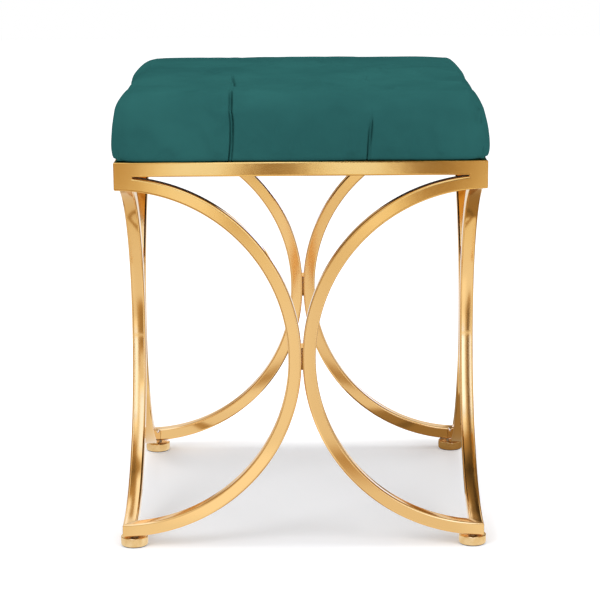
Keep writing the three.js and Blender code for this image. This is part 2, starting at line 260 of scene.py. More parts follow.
# %% World
FILL_STRENGTH, ROOM_STRENGTH = 0.62, 0.98
UNDER_DIM, REAR_RIGHT_DIM, WALL_DIM, LEFT_DIM = 0.55, 0.7, 0.38, 0.07
OVER_DIM, OVER_DIM_RIGHT = 0.35, 0.3
FACE_LEVEL = -0.225
WHITE, BROWN_TINT, COOL_TINT = (255, 255, 255), (232, 198, 146), (188, 208, 255)
ALL_ROUND, NEVER = (-2, 2), (2, 3)
PATCHES = [
    (1.9, (-0.055, 0.006), (-0.3, -0.04, 0.7, 0.92)),
    (1.6, (-0.3, -0.105), (0.4, 0.68, 0.95, 1.0)),
    (0.2, (0.108, 0.3), (-0.8, -0.6, -0.3, -0.2)),
    (2.0, (0.108, 0.3), (-0.32, -0.02, 0.66, 0.9)),
    (-0.45, (-0.3, -0.105), (-0.55, -0.3, -0.05, 0.2)),
    (-0.25, (-0.105, -0.06), (-0.55, -0.3, 0.2, 0.4)),
    (-0.85, (0.012, 0.062), (-0.62, -0.25, *NEVER)),
    (-0.25, (0.062, 0.108), (-0.5, -0.3, *NEVER)),
    (-0.4, (-0.068, 0.012), (0.9, 1.0, *NEVER)),
    (-0.45, (0.062, 0.3), (0.87, 0.98, *NEVER)),
    (-0.4, (0.062, 0.3), (0.96, 1.0, *NEVER)),
    (-0.35, ALL_ROUND, (0.98, 1.0, *NEVER)),
]


def patch(tree, x, z, sides, levels, soft=0.015):
    """1 in a part of the room and 0 outside it: it reaches across between two values of x, fades
    in between the first two levels of z and fades out between the last two."""
    across = tree.ramp(x - sides[0], -soft, soft) * tree.ramp(sides[1] - x, -soft, soft)
    return across * tree.ramp(z, levels[0], levels[1]) * (1 - tree.ramp(z, levels[2], levels[3]))


def room_light(tree, x, y, z, right, shown_ahead):
    """Colour and strength that a reflection sees along the way (x, y, z). The strength is the
    product of (1 + gain * patch) for the stripes and of (1 - dim * place) for the dim places.
    Underneath it is dark by the share right. Ahead, near the level that the front faces of the
    tubes reflect, the stripes count only by the share shown_ahead. What is dim is browner, and what
    is brighter than white is cooler."""
    stripes = 1
    for gain, sides, levels in PATCHES:
        stripes = (1 + gain * patch(tree, x, z, sides, levels)) * stripes
    to_right = tree.ramp(x, -0.01, 0.07)
    underneath = tree.ramp(y, -0.55, 0.1) * tree.ramp(-1 * z, 0.3, 0.5) * (0.1 + 0.9 * right)
    low_behind = tree.ramp(y, 0.1, 0.5) * patch(tree, x, z, ALL_ROUND, (-0.05, 0.1, 0.3, 0.75))
    overhead = tree.ramp(y, -0.1, 0.15) * tree.ramp(z, 0.45, 0.65)
    walls = tree.ramp(x * x, 0.25, 0.45) * (1 - tree.ramp(x * x, 0.7, 0.88))
    to_left = tree.ramp(-1 * x, -0.04, 0.09)
    off_level = z - FACE_LEVEL
    shown = tree.ramp(off_level * off_level, 0.012, 0.03) * (1 - shown_ahead) + shown_ahead
    strength = (1 + (stripes - 1) * shown) * ROOM_STRENGTH
    strength = strength * (1 - UNDER_DIM * underneath) * (1 - REAR_RIGHT_DIM * to_right * low_behind)
    strength = strength * (1 - overhead * (OVER_DIM + OVER_DIM_RIGHT * to_right))
    strength = strength * (1 - WALL_DIM * walls) * (1 - LEFT_DIM * to_left)
    tint = tree.mix(tree.ramp(1 - strength, 0.0, 0.4), WHITE, BROWN_TINT)
    return tree.mix(tree.ramp(strength, 1.0, 2.2), tint, COOL_TINT), strength


def studio_world():
    """White for the camera, the room for reflections, and an even fill for everything else."""
    world = Finish(bpy.data.worlds.new("studio"))
    way = world.add("ShaderNodeNewGeometry", output="Position")
    x, y, z = (world.along(axis, way) for axis in "XYZ")
    tint, room = room_light(world, x, y, z, world.ramp(x, -0.03, 0.03), 0.0)
    rays = {name: world.add("ShaderNodeLightPath", output=name) for name in
            ("Is Camera Ray", "Is Glossy Ray", "Is Transmission Ray")}
    shown = rays["Is Camera Ray"] + rays["Is Transmission Ray"]
    glossy = rays["Is Glossy Ray"]
    strength = shown + (1 - shown) * (glossy * room + (1 - glossy) * FILL_STRENGTH)
    light = world.add("ShaderNodeBackground", sockets={
        "Color": world.mix(glossy, WHITE, tint), "Strength": strength})
    world.add("ShaderNodeOutputWorld", sockets={"Surface": light})
    return world.owner


bpy.context.scene.world = studio_world()
print("world fill", FILL_STRENGTH, "and", len(PATCHES), "stripes in the room")

# %% [markdown]
# The floor is one large sheet. A little glow that only the camera sees lifts it to white: it grows
# away from the stool, so that the shadow under it stays visible as a light grey. The lower glow over
# a square as large as the seat is a painted shadow, which adds to the real one. In reflections it
# shows strips of bright and dark card, which fan out in front of either leg: a point of the floor
# counts as the way towards it from the middle of the nearer leg. Its underside is see-through, so
# that the stool can be looked at from below.

# %% Floor and lamps
FLOOR_REACH = 6.0
FLOOR_GREY = (236, 238, 242)
FLOOR_GLOW, FAR_GLOW = 0.2, 0.6
NEAR_REACH, FAR_REACH = 0.185, 0.26
LEG_AT = HALF - RAIL["across"] / 2
QUAD = [(-1, -1), (1, -1), (1, 1), (-1, 1)]


def studio_floor():
    """A square sheet. The glow grows by the larger of |x| and |y|, which paints a square shadow under
    the seat. A way towards a point of the floor is (x from the leg, y, -height) times nearness,
    which is 1 / |y|."""
    mesh = bpy.data.meshes.new("floor")
    mesh.from_pydata([(x * FLOOR_REACH, y * FLOOR_REACH, 0) for x, y in QUAD], [], [(0, 1, 2, 3)])
    paint = material("floor")
    x, y = (paint.along(axis) for axis in "XY")
    from_middle = paint.add("ShaderNodeMath", {"operation": "MAXIMUM"}, {0: x * x, 1: y * y}) ** 0.5
    # Painted shadow: the glow stays low over a square as large as the seat.
    far = paint.ramp(from_middle, NEAR_REACH, FAR_REACH)
    matte = paint.add("ShaderNodeBsdfDiffuse", sockets={"Color": colour(FLOOR_GREY)})
    seen = paint.add("ShaderNodeLightPath", output="Is Camera Ray")
    strength = seen * (FLOOR_GLOW + (FAR_GLOW - FLOOR_GLOW) * far)
    glow = paint.add("ShaderNodeEmission", sockets={"Strength": strength})
    both = paint.add("ShaderNodeAddShader", sockets={0: matte, 1: glow})
    in_front = paint.ramp(-1 * y, 0.45, 0.6) * (1 - paint.ramp(-1 * y, 1.6, 1.9))
    beside = paint.ramp(x * x, 0.03, 0.04) * in_front
    nearness = (y * y + 0.001) ** -0.5
    right = paint.ramp(x, -0.001, 0.001)
    way_x = (x - LEG_AT * (2 * right - 1)) * nearness
    tint, room = room_light(paint, way_x, y * nearness, -LEG_MIDDLE * nearness, right, beside)
    mirrored = paint.add("ShaderNodeEmission", sockets={"Color": tint, "Strength": room})
    glossy = paint.add("ShaderNodeLightPath", output="Is Glossy Ray")
    topside = paint.add("ShaderNodeMixShader", sockets={0: glossy, 1: both, 2: mirrored})
    underside = paint.add("ShaderNodeBsdfTransparent")
    below = paint.add("ShaderNodeNewGeometry", output="Backfacing")
    surface = paint.add("ShaderNodeMixShader", sockets={0: below, 1: topside, 2: underside})
    paint.add("ShaderNodeOutputMaterial", sockets={"Surface": surface})
    mesh.materials.append(paint.owner)
    add_object("floor", mesh)


def softbox(name, place, target, width, height, power):
    """A rectangular lamp that faces a point. Reflections don't show it."""
    lamp = bpy.data.lights.new(name, "AREA")
    lamp.shape = "RECTANGLE"
    lamp.size, lamp.size_y, lamp.energy = width, height, power
    box = add_object(name, lamp)
    box.location = place
    box.visible_glossy = False
    box.rotation_mode = "QUATERNION"
    box.rotation_quaternion = (Vector(target) - Vector(place)).to_track_quat("-Z", "Y")


studio_floor()
softbox("key", place=(-1.6, -1.6, 1.9), target=(0, 0, 0.4), width=1.4, height=1.4, power=26)
softbox("fill", place=(1.9, -1.5, 1.1), target=(0, 0, 0.3), width=1.2, height=1.6, power=20)
softbox("overhead", place=(0, 0, 2.4), target=(0, 0, 0.4), width=0.9, height=0.9, power=12)
print("floor and", len(bpy.data.lights), "lamps")

# %% [markdown]
# ## Surfaces from grids
#
# Every rounded piece here is a grid of points with faces between neighbours: along one way it
# follows a profile, along the other a path. The helpers turn such a grid into a mesh, wrap it
# round where it closes on itself, and make sure that its faces point outwards.


# %% Mesh helpers
def grid_faces(rows, columns, wrap_rows=False, wrap_columns=False):
    """The four corners of every cell between neighbouring points, as indices into the grid."""
    row = np.arange(rows if wrap_rows else rows - 1)
    column = np.arange(columns if wrap_columns else columns - 1)
    row, column = (a.ravel() for a in np.meshgrid(row, column, indexing="ij"))
    below, beside = (row + 1) % rows, (column + 1) % columns
    return np.stack([row * columns + column, row * columns + beside,
                     below * columns + beside, below * columns + column], axis=1)


def volume(points, faces):
    """The volume inside closed quads: the sum of the tetrahedra from the origin."""
    a, b, c, d = (points[faces[:, i]] for i in range(4))
    return (a * (np.cross(b, c) + np.cross(c, d))).sum() / 6


def grid_of(x, y, z):
    """A grid of points from coordinates, which may be the same along a row or a column."""
    return np.stack(np.broadcast_arrays(x, y, z), axis=-1)


def quarter_turns(points, turns):
    """The points turned by a number of right angles about the stool's axis."""
    x, y = points[..., 0], points[..., 1]
    for _ in range(turns % 4):
        x, y = -y, x
    return grid_of(x, y, points[..., 2])


def capped(grid):
    """A grid with the middle of its first row before it and that of its last row after it, which
    closes both ends."""
    ends = [np.broadcast_to(row.mean(axis=0), row.shape) for row in (grid[0], grid[-1])]
    return np.concatenate([ends[0][None], grid, ends[1][None]])


@contextmanager
def editing(mesh):
    """A mesh, open for bmesh operators until the block ends."""
    shape = bmesh.new()
    shape.from_mesh(mesh)
    yield shape
    shape.to_mesh(mesh)
    shape.free()


def add_piece(name, points, faces, finish, body="stool", slot=None, nodes=(), sharp=35.0):
    """A finished piece: its mesh, material, body and the solids that it stands for; slot is not used.
    sharp is the angle in degrees past which an edge between two faces isn't smoothed."""
    points = np.asarray(points, float).reshape(-1, 3)
    mesh = bpy.data.meshes.new(name)
    mesh.from_pydata(points.tolist(), [], np.asarray(faces).tolist())
    with editing(mesh) as shape:
        bmesh.ops.remove_doubles(shape, verts=shape.verts, dist=1e-6)
        bmesh.ops.dissolve_degenerate(shape, edges=shape.edges, dist=1e-7)
    mesh.shade_smooth()
    mesh.set_sharp_from_angle(angle=math.radians(sharp))
    mesh.materials.append(finish)
    piece = add_object(name, mesh)
    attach(piece, body)
    if nodes:
        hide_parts(*nodes)
    return piece


def add_grid(name, grid, finish, ring=False, **facts):
    """A piece from a grid of points whose rows close on themselves, turned the right way out. In a
    ring, the last row meets the first too."""
    points = grid.reshape(-1, 3)
    faces = grid_faces(*grid.shape[:2], ring, True)
    if volume(points, faces) < 0:
        faces = faces[:, ::-1]
    return add_piece(name, points, faces, finish, **facts)


# %% [markdown]
# ## Satin gold
#
# The frame is steel with a gold lacquer. It is metallic and almost smooth, so that the room shows
# in it as streaks with soft edges. Towards the bottom a paler gold is painted into its colour: a
# painted reflection of the bright floor, while the top keeps the lacquer's deeper gold. Slow noises
# move colour, roughness and relief a little, as on hand-finished tube, and a fine one gives the
# lacquer its grain.

# %% Gold
# The deeper gold is the lacquer; the paler one is a painted reflection of the floor, mixed in low down.
GOLD_PAINTED_FLOOR_REFLECTION, GOLD_DEEP = (243, 200, 134), (232, 183, 101)
UNPAINTED_ABOVE, PAINTED_REFLECTION_BELOW = 0.46, 0.28


def gold_lacquer():
    """Painted reflection: the colour turns paler towards the bottom, standing for the bright floor that
    the tubes reflect there, and is the lacquer's deeper gold above. An uneven noise moves the border.
    """
    gold = material("satin_gold")
    height = gold.along("Z")
    # Painted reflection: below this height the gold is mixed towards the paler colour.
    painted_reflection_share = gold.ramp(height + 0.08 * gold.noise(0.06, 3), UNPAINTED_ABOVE, PAINTED_REFLECTION_BELOW)
    grain = gold.noise(0.0007, 2)
    ripple = gold.noise(0.03, 2)
    return gold.surface(
        base_color=gold.mix(painted_reflection_share, GOLD_DEEP, GOLD_PAINTED_FLOOR_REFLECTION),
        metallic=1.0,
        roughness=0.07 + 0.04 * gold.noise(0.02, 3),
        normal=gold.bump(grain, 0.00002, 0.25, gold.bump(ripple, 0.00008, 0.4)),
    )


GOLD = gold_lacquer()
print("gold lacquer", GOLD_PAINTED_FLOOR_REFLECTION, GOLD_DEEP)

# %% [markdown]
# ## The bent tubes
#
# Each side has two arcs, back to back. A bender draws a straight square tube round a wheel, so the
# section keeps its shape: the surface is that section carried along the bend. At the corners the
# tubes meet in a mitre. A point that lies deeper in the side starts later along the bend, which
# makes the slanted cut without any cutting. Bending also draws in the faces at the inside and the
# outside of the bend a little, and a hollow face spreads what it reflects over its width.


# %% Tube sections
ARC_STATIONS, RAIL_STATIONS = 56, 41
FLAT_AT = np.array([-0.65, -0.3, 0, 0.3, 0.65])


def tube_section(tube, inset=0.0, corner_steps=6):
    """Points round a square section with rounded corners, as (along the depth, across). Each
    corner is a quarter circle. inset moves the outline inwards, for the inner wall. The two faces
    square to the depth sink by tube["sunk"] in the middle, as 1 - (2 * across / width)^2, and the
    outer face of the bend by less."""
    deep, across = tube["deep"] / 2 - inset, tube["across"] / 2 - inset
    radius = max(tube["corner"] - inset, 0.3 * MM)
    shoulder = 0.12 * radius + 0.0002
    turn = np.linspace(0, math.pi / 2, corner_steps + 1)
    arc = np.stack([np.cos(turn), np.sin(turn)], axis=1) * radius
    flat = np.stack([np.full(len(FLAT_AT), radius), (across - radius) * (FLAT_AT - 1)], axis=1)
    corner = np.vstack([flat, arc[0] - (0, shoulder), arc, arc[-1] - (shoulder, 0)])
    quarters = []
    for quarter in range(4):
        c, s = round(math.cos(quarter * math.pi / 2)), round(math.sin(quarter * math.pi / 2))
        turned = corner @ np.array([[c, s], [-s, c]])
        middle = np.array([(deep - radius) * (c - s), (across - radius) * (s + c)])
        quarters.append(turned + middle)
    outline = np.vstack(quarters)
    share = np.clip(1 - (outline[:, 1] / (across - radius)) ** 2, 0, 1)
    on_faces = np.abs(outline[:, 0]) > deep - 0.01 * MM
    inner = np.where(outline[:, 0] < 0, 1.0, 0.4)
    outline[:, 0] -= np.sign(outline[:, 0]) * tube["sunk"] * share * on_faces * inner
    return outline


def bent_skin(section, steps):
    """The section carried round a left arc of the front, from its upper to its lower mitre. A
    point at radius r and depth d starts where x is -HALF + d, at the angle acos(d / r)."""
    radius = ARC_RADIUS - TUBE["deep"] / 2 + section[:, 0]
    depth = TUBE["across"] / 2 + section[:, 1]
    start = np.arccos((depth + MITRE_GAP) / radius)
    share = np.linspace(1, 0, steps)
    upper = share[:, None] * start
    angle = np.vstack([upper, -upper[::-1]])
    rise = np.where(np.arange(2 * steps) < steps, 1, -1)[:, None] * CROWN_STRAIGHT / 2
    height = LEG_MIDDLE + rise + radius * np.sin(angle)
    return grid_of(radius * np.cos(angle) - HALF, depth - HALF, height)


def straight_skin(section):
    """The section carried along the front rail, between its two mitres."""
    depth = RAIL["across"] / 2 + section[:, 1]
    reach = HALF - depth - MITRE_GAP
    x = np.linspace(-1, 1, RAIL_STATIONS)[:, None] * reach
    return grid_of(x, depth - HALF, (RAIL_BOTTOM + RAIL_TOP) / 2 + section[:, 0])


def hollow(skin_of, tube):
    """An open tube with walls: the outer skin one way, and the inner skin back."""
    outer = skin_of(tube_section(tube))
    inner = skin_of(tube_section(tube, WALL))
    return np.concatenate([outer, inner[::-1]])


print(len(tube_section(TUBE)), "points round a tube's section, walls of", WALL, "m")

# %% [markdown]
# The foot's nut sits in a hole half in one tube and half in the other, so both are drilled. The
# drill is a Boolean modifier, applied at once.

# %% Drilling
HOLE_RADIUS = 3.3 * MM
FOOT_AT = [upright_axis(corner + "_foot") for corner in CORNERS]


def cut_out(piece, mesh, crosses_itself=False):
    """Takes the shape of a mesh out of a piece."""
    cutter = add_object("cutter", mesh)
    modifier = piece.modifiers.new("cut", "BOOLEAN")
    modifier.operation, modifier.solver, modifier.object = "DIFFERENCE", "EXACT", cutter
    modifier.use_self = crosses_itself
    whole = piece.data
    scene_graph = bpy.context.evaluated_depsgraph_get()
    piece.data = bpy.data.meshes.new_from_object(piece.evaluated_get(scene_graph))
    piece.modifiers.clear()
    bpy.data.objects.remove(cutter)
    for used_up in (whole, mesh):
        bpy.data.meshes.remove(used_up)


def drill(piece, place, bottom, top):
    """Takes an upright round hole out of a piece."""
    mesh = bpy.data.meshes.new("drill")
    middle = Matrix.Translation((place.x, place.y, (top + bottom) / 2))
    with editing(mesh) as shape:
        bmesh.ops.create_cone(shape, cap_ends=True, segments=32, radius1=HOLE_RADIUS,
                              radius2=HOLE_RADIUS, depth=top - bottom, matrix=middle)
    cut_out(piece, mesh)


print("feet at", [tuple(round(v, 4) for v in place[:2]) for place in FOOT_AT])

# %% Rails and arcs
left_arc = hollow(lambda section: bent_skin(section, ARC_STATIONS), TUBE)
right_arc = left_arc * (-1, 1, 1)
rail_tube = hollow(straight_skin, RAIL)
for turns, (side, (left_end, right_end)) in enumerate(SIDES.items()):
    add_grid(side + "_rail_tube", quarter_turns(rail_tube, turns), GOLD, True,
             slot="gold_frame", nodes=[side + "_rail"])
    for end, skin, corner in ((left_end, left_arc, turns), (right_end, right_arc, turns + 1)):
        piece = add_grid(f"{side}_arc_tube_{end}", quarter_turns(skin, turns), GOLD, True,
                         slot="gold_frame", nodes=[f"{side}_arc_{end}"])
        drill(piece, FOOT_AT[corner % 4], LEG_BOTTOM - WALL, LEG_BOTTOM + 2 * WALL)
print("rails and arcs:", 2 * ARC_STATIONS, "stations on each arc")

# %% [markdown]
# ## Welds
#
# Three kinds of weld hold the frame. In the middle of each side, a fillet lies in the slot between
# the two arcs, with a bead on top of it that closes the slot. At the upper corners, the arc is
# welded to the rail and dressed flush over the first 20 mm, so that the dark slit between them
# starts only there. The corner plates are welded along both rails.

# %% Weld beads
WELD_HALF = 12 * MM
WELD_SET_BACK = 1.6 * MM
CORNER_WELD = 20 * MM
DRESSING = {"from": 0.3 * MM, "proud": 0.02 * MM, "deep": 3 * MM, "over": 0.5 * MM}
RIPPLE, RIPPLE_LONG = 0.12 * MM, 1.3 * MM
ANY_OTHER_WAY = (0.3, 0.5, 0.81)


def bead(start, end, radius, steps=28, sides=10, waves=6.0, tip=0.35):
    """A weld bead from one point to another: a round bar whose radius swells and shrinks along it
    as radius * (1 + 0.08 sin), and closes over its last stretch as an ellipse."""
    start, end = np.asarray(start, float), np.asarray(end, float)
    along = end - start
    length = np.linalg.norm(along)
    along /= length
    side = np.cross(along, ANY_OTHER_WAY)
    side /= np.linalg.norm(side)
    other = np.cross(along, side)
    share = (1 - np.cos(np.linspace(0, math.pi, steps))) / 2
    end_gap = np.minimum(share, 1 - share) * length / (radius / tip)
    close = np.sqrt(np.clip(1 - (1 - np.minimum(end_gap, 1)) ** 2, 0, 1))
    size = radius * close * (1 + 0.08 * np.sin(share * waves * 2 * math.pi))
    turn = np.linspace(0, 2 * math.pi, sides, endpoint=False)
    ring = np.cos(turn)[:, None] * side + np.sin(turn)[:, None] * other
    return start + (share * length)[:, None, None] * along + size[:, None, None] * ring


def slot_fill(low, high, set_back, extra=0.0, steps=32, across_steps=14):
    """Weld in the slot of the front between two heights: as wide as the slot there, and extra. Its
    section is a box with rounded corners: the cosine and the sine, to powers below 1."""
    height = np.linspace(low, high, steps)
    bend = np.maximum(np.abs(height) - CROWN_STRAIGHT / 2, 0)
    width = HALF - np.sqrt(ARC_RADIUS**2 - bend**2) + extra
    turn = np.linspace(0, 2 * math.pi, across_steps, endpoint=False)
    deep = TUBE["across"] / 2 - set_back
    x = width[:, None] * np.sign(np.cos(turn)) * np.abs(np.cos(turn)) ** 0.4
    ripple = RIPPLE * np.sin(height / RIPPLE_LONG)[:, None]
    y = (deep + ripple) * np.sign(np.sin(turn)) * np.abs(np.sin(turn)) ** 0.7
    return capped(grid_of(x, y + TUBE["across"] / 2 - HALF, LEG_MIDDLE + height[:, None]))


def corner_dressing(sign, steps=24):
    """The dressed weld at an upper corner of the front: a plate that is flush with both faces, but
    for a hair, from the flat of the rail down to the flat of the arc, and over their rounded edges.
    Its inner end is rounded."""
    share = np.linspace(0, 1, steps)
    x = -HALF + DRESSING["from"] + share * (CORNER_WELD - DRESSING["from"])
    arc_top = LEG_MIDDLE + CROWN_STRAIGHT / 2 + np.sqrt(ARC_RADIUS**2 - (x + HALF) ** 2)
    tip = np.sqrt(np.clip(1 - share**12, 0, 1))
    upper = RAIL_BOTTOM + tip * (RAIL["corner"] + DRESSING["over"])
    lower = arc_top - tip * (TUBE["corner"] + DRESSING["over"])
    across = np.array([(0, 0), (0.3, 0), (0.7, 0), (1, 0), (1, 1), (0, 1)])
    z = lower[:, None] + (upper - lower)[:, None] * across[:, 0]
    y = -HALF - DRESSING["proud"] + across[:, 1] * DRESSING["deep"]
    return capped(grid_of(x[:, None], y, z)) * (-sign, 1, 1)


print("slot at the fillet's ends", round(np.ptp(slot_fill(-WELD_HALF, WELD_HALF, 0)[..., 0]), 4), "wide")

# %% Place the welds
BEAD_LOW, BEAD_HIGH = 12.6 * MM, 18.4 * MM
PLATE_BEAD = 1.5 * MM
PLATE_LOW, PLATE_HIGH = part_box("front_left_corner_plate")


def weld_in_painted_shade():
    """Welded metal under the lacquer: rougher and rippled, and a darker brown, which is partly the
    weld's own colour and partly painted shade of the slot that it fills.
    """
    weld = material("weld_metal")
    return weld.surface(
        # Partly painted shade: these browns are darker than the gold, for the shade in the slot.
        base_color=weld.mix(weld.clouds(0.004), (176, 124, 58), (214, 160, 86)),
        metallic=1.0,
        roughness=0.42 + 0.12 * weld.noise(0.002, 2),
        normal=weld.bump(weld.noise(0.0012, 2), 0.0002, 0.6),
    )


WELD = weld_in_painted_shade()
fillet = slot_fill(-WELD_HALF, WELD_HALF, WELD_SET_BACK)
slot_bead = slot_fill(BEAD_LOW, BEAD_HIGH, 0.5 * MM, extra=1.1 * MM)
for turns, side in enumerate(SIDES):
    add_grid(side + "_slot_fillet", quarter_turns(fillet, turns), WELD,
             slot="weld_bead", nodes=[side + "_weld"])
    add_grid(side + "_slot_bead", quarter_turns(slot_bead, turns), GOLD, slot="gold_frame")
    for sign, end in zip((1, -1), SIDES[side]):
        dressing = quarter_turns(corner_dressing(sign), turns)
        add_grid(f"{side}_corner_dressing_{end}", dressing, GOLD, slot="gold_frame")
low, inner = PLATE_LOW.z + 0.4 * MM, PLATE_LOW.x - 0.1 * MM
near, tip = inner + 6 * MM, PLATE_HIGH.x - 6 * MM
plate_beads = {"along": bead((near, inner, low), (tip, inner, low), PLATE_BEAD, 90, waves=22),
               "across": bead((inner, near, low), (inner, tip, low), PLATE_BEAD, 90, waves=22)}
for turns, corner in enumerate(CORNERS):
    for way, grid in plate_beads.items():
        add_grid(f"{corner}_plate_bead_{way}", quarter_turns(grid, turns), GOLD, slot="gold_frame")
print("welds placed at mid height", round(LEG_MIDDLE, 4), "and at the corners")

# %% [markdown]
# ## Feet and screws
#
# These are turned parts: a profile of radii and heights, spun about an upright axis. The foot has a
# chamfer above and below, which catch the light as thin rims. It screws into its nut on an M5 stud,
# whose thread is the profile's radius as a wave that climbs one pitch in a turn.

# %% Turned parts
THREAD_DEPTH = 0.61


def turned(profile, place, steps=96):
    """A profile of (radius, height) pairs, spun about the upright axis through a place."""
    radius, height = np.asarray(profile, float).T[..., None]
    turn = np.linspace(0, 2 * math.pi, steps, endpoint=False)
    return grid_of(place.x + radius * np.cos(turn), place.y + radius * np.sin(turn), height)


def eased(corners, radius, steps=4):
    """A profile with its inner corners rounded: each is replaced by a curve between the points one
    radius before and after it, or a third of the way where its sides are short."""
    corners = np.asarray(corners, float)
    t = np.linspace(0, 1, steps + 1)[:, None]
    out = [corners[:1]]
    for before, at, after in zip(corners[:-2], corners[1:-1], corners[2:]):
        start, end = (at + (other - at) * min(radius / np.linalg.norm(other - at), 1 / 3)
                      for other in (before, after))
        out.append((1 - t) ** 2 * start + 2 * t * (1 - t) * at + t**2 * end)
    return np.vstack(out + [corners[-1:]])


def threaded_rod(place, bottom, top, radius, pitch, steps=48, rows_per_turn=12):
    """A rod whose radius falls and rises by the thread's depth as it climbs: the phase is the
    height over the pitch, less the angle over a full turn. Its ends taper."""
    rows = int((top - bottom) / pitch * rows_per_turn) + 1
    height = np.linspace(bottom, top, rows)[:, None]
    turn = np.linspace(0, 2 * math.pi, steps, endpoint=False)[None, :]
    phase = height / pitch - turn / (2 * math.pi)
    tooth = np.abs(2 * (phase - np.floor(phase)) - 1)
    taper = np.clip(np.minimum(height - bottom, top - height) / pitch, 0, 1)
    r = radius - THREAD_DEPTH * pitch * np.maximum(tooth, 1 - taper)
    return capped(grid_of(place.x + r * np.cos(turn), place.y + r * np.sin(turn), height))


# %% [markdown]
# The feet have the frame's gold, with a painted contact shadow as a thin black band at the bottom.
# Studs, nuts, screws and washers are plated with zinc, as most small steel parts are.

# %% Zinc and foot metals
# Below the first height each foot is painted black as a contact shadow; above the second it is gold.
PAINTED_SHADOW_TOP, METAL_FROM = 0.9 * MM, 1.3 * MM


def turned_gold():
    """The frame's lacquer on turned metal: fine rings round each foot show as a faint bump. The
    lowest millimetre is painted near-black and not metallic: a painted contact shadow, which shows
    as a dark line on the floor."""
    gold = material("foot_gold")
    rings = gold.noise(0.0012, 2, (0.2, 0.2, 3))
    # Painted contact shadow: the share that is gold, 0 in the black band at the bottom.
    metal = gold.ramp(gold.along("Z"), PAINTED_SHADOW_TOP, METAL_FROM)
    lacquer = gold.mix(gold.clouds(0.012), (232, 192, 130), (246, 214, 160))
    return gold.surface(
        base_color=gold.mix(metal, (24, 23, 22), lacquer),
        metallic=metal,
        roughness=0.8 - metal * (0.66 - 0.08 * gold.noise(0.008, 2)),
        normal=gold.bump(rings, 0.00003, 0.5),
    )


def zinc_plate():
    """Pale grey metal, whose colour, roughness and relief are slow and fine noises."""
    zinc = material("zinc_plated_steel")
    return zinc.surface(
        base_color=zinc.mix(zinc.clouds(0.003), (176, 178, 180), (206, 207, 206)),
        metallic=1.0,
        roughness=0.28 + 0.12 * zinc.noise(0.002, 2),
        normal=zinc.bump(zinc.noise(0.0005, 2), 0.00002, 0.5),
    )


FOOT_GOLD, ZINC = turned_gold(), zinc_plate()
# The black sole printed here is a painted contact shadow.
print("foot gold from", round(METAL_FROM, 4), "m up, black sole below", round(PAINTED_SHADOW_TOP, 4))

# %% [markdown]
# Nuts stay with the frame. Each stud rides the body that slides down with its foot, and each foot
# rides the body that turns on the stud.

# %% Place the feet
STUD_RADIUS, STUD_PITCH = 2.48 * MM, 0.8 * MM
FOOT_LOW, FOOT_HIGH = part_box("front_left_foot")
STUD_LOW, STUD_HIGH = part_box("front_left_foot_stud")
NUT_LOW, NUT_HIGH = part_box("front_left_rivet_nut")
FOOT_RADIUS = (FOOT_HIGH.x - FOOT_LOW.x) / 2
FOOT_TOP = FOOT_HIGH.z
BORE, BORE_END = 2.56 * MM, 3.2 * MM
FLANGE_RADIUS, NUT_RADIUS = (NUT_HIGH.x - NUT_LOW.x) / 2, 3.15 * MM
FLANGE_TOP = NUT_LOW.z + 0.8 * MM

foot_corners = [(0, 0), (FOOT_RADIUS - 1.4 * MM, 0), (FOOT_RADIUS - 0.2 * MM, 1.6 * MM),
                (FOOT_RADIUS, 5 * MM), (FOOT_RADIUS - 0.1 * MM, FOOT_TOP - 0.8 * MM),
                (FOOT_RADIUS - 0.9 * MM, FOOT_TOP), (BORE, FOOT_TOP), (BORE, BORE_END), (0, BORE_END)]
nut_corners = [(BORE, NUT_LOW.z), (FLANGE_RADIUS, NUT_LOW.z), (FLANGE_RADIUS, FLANGE_TOP),
               (NUT_RADIUS, FLANGE_TOP), (NUT_RADIUS, NUT_HIGH.z), (BORE, NUT_HIGH.z),
               (BORE, NUT_LOW.z)]
for corner, place in zip(CORNERS, FOOT_AT):
    thread = threaded_rod(place, STUD_LOW.z, STUD_HIGH.z, STUD_RADIUS, STUD_PITCH)
    add_grid(corner + "_turned_foot", turned(eased(foot_corners, 0.35 * MM), place), FOOT_GOLD,
             body=corner + "_foot", slot="gold_foot", nodes=[corner + "_foot"])
    add_grid(corner + "_stud_thread", thread, ZINC, body=corner + "_stud", slot="zinc_steel",
             nodes=[corner + "_foot_stud"], sharp=60)
    add_grid(corner + "_nut_flange", turned(nut_corners, place, 48), ZINC,
             slot="zinc_steel", nodes=[corner + "_rivet_nut"])
print("feet of radius", round(FOOT_RADIUS, 5), "and height", round(FOOT_TOP, 5))

# %% [markdown]
# The cushion screws show only from below: pan heads with a cross, on washers, in the plates.

# %% Cushion screws
SCREW_LOW, SCREW_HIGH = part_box("front_left_cushion_screw")
WASHER_LOW, WASHER_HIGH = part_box("front_left_washer")
SCREW_AT = [upright_axis(corner + "_washer") for corner in CORNERS]
HEAD_RADIUS = (SCREW_HIGH.x - SCREW_LOW.x) / 2
HEAD_TOP = SCREW_LOW.z + 3.4 * MM
HEAD_RIM, HEAD_DOME = 1.2 * MM, 2.2 * MM
SHANK = 2.9 * MM
CROSS = {"long": 5.2 * MM, "wide": 1.1 * MM, "deep": 3.6 * MM}
WASHER_BORE, WASHER_RADIUS = 3.2 * MM, 7.5 * MM


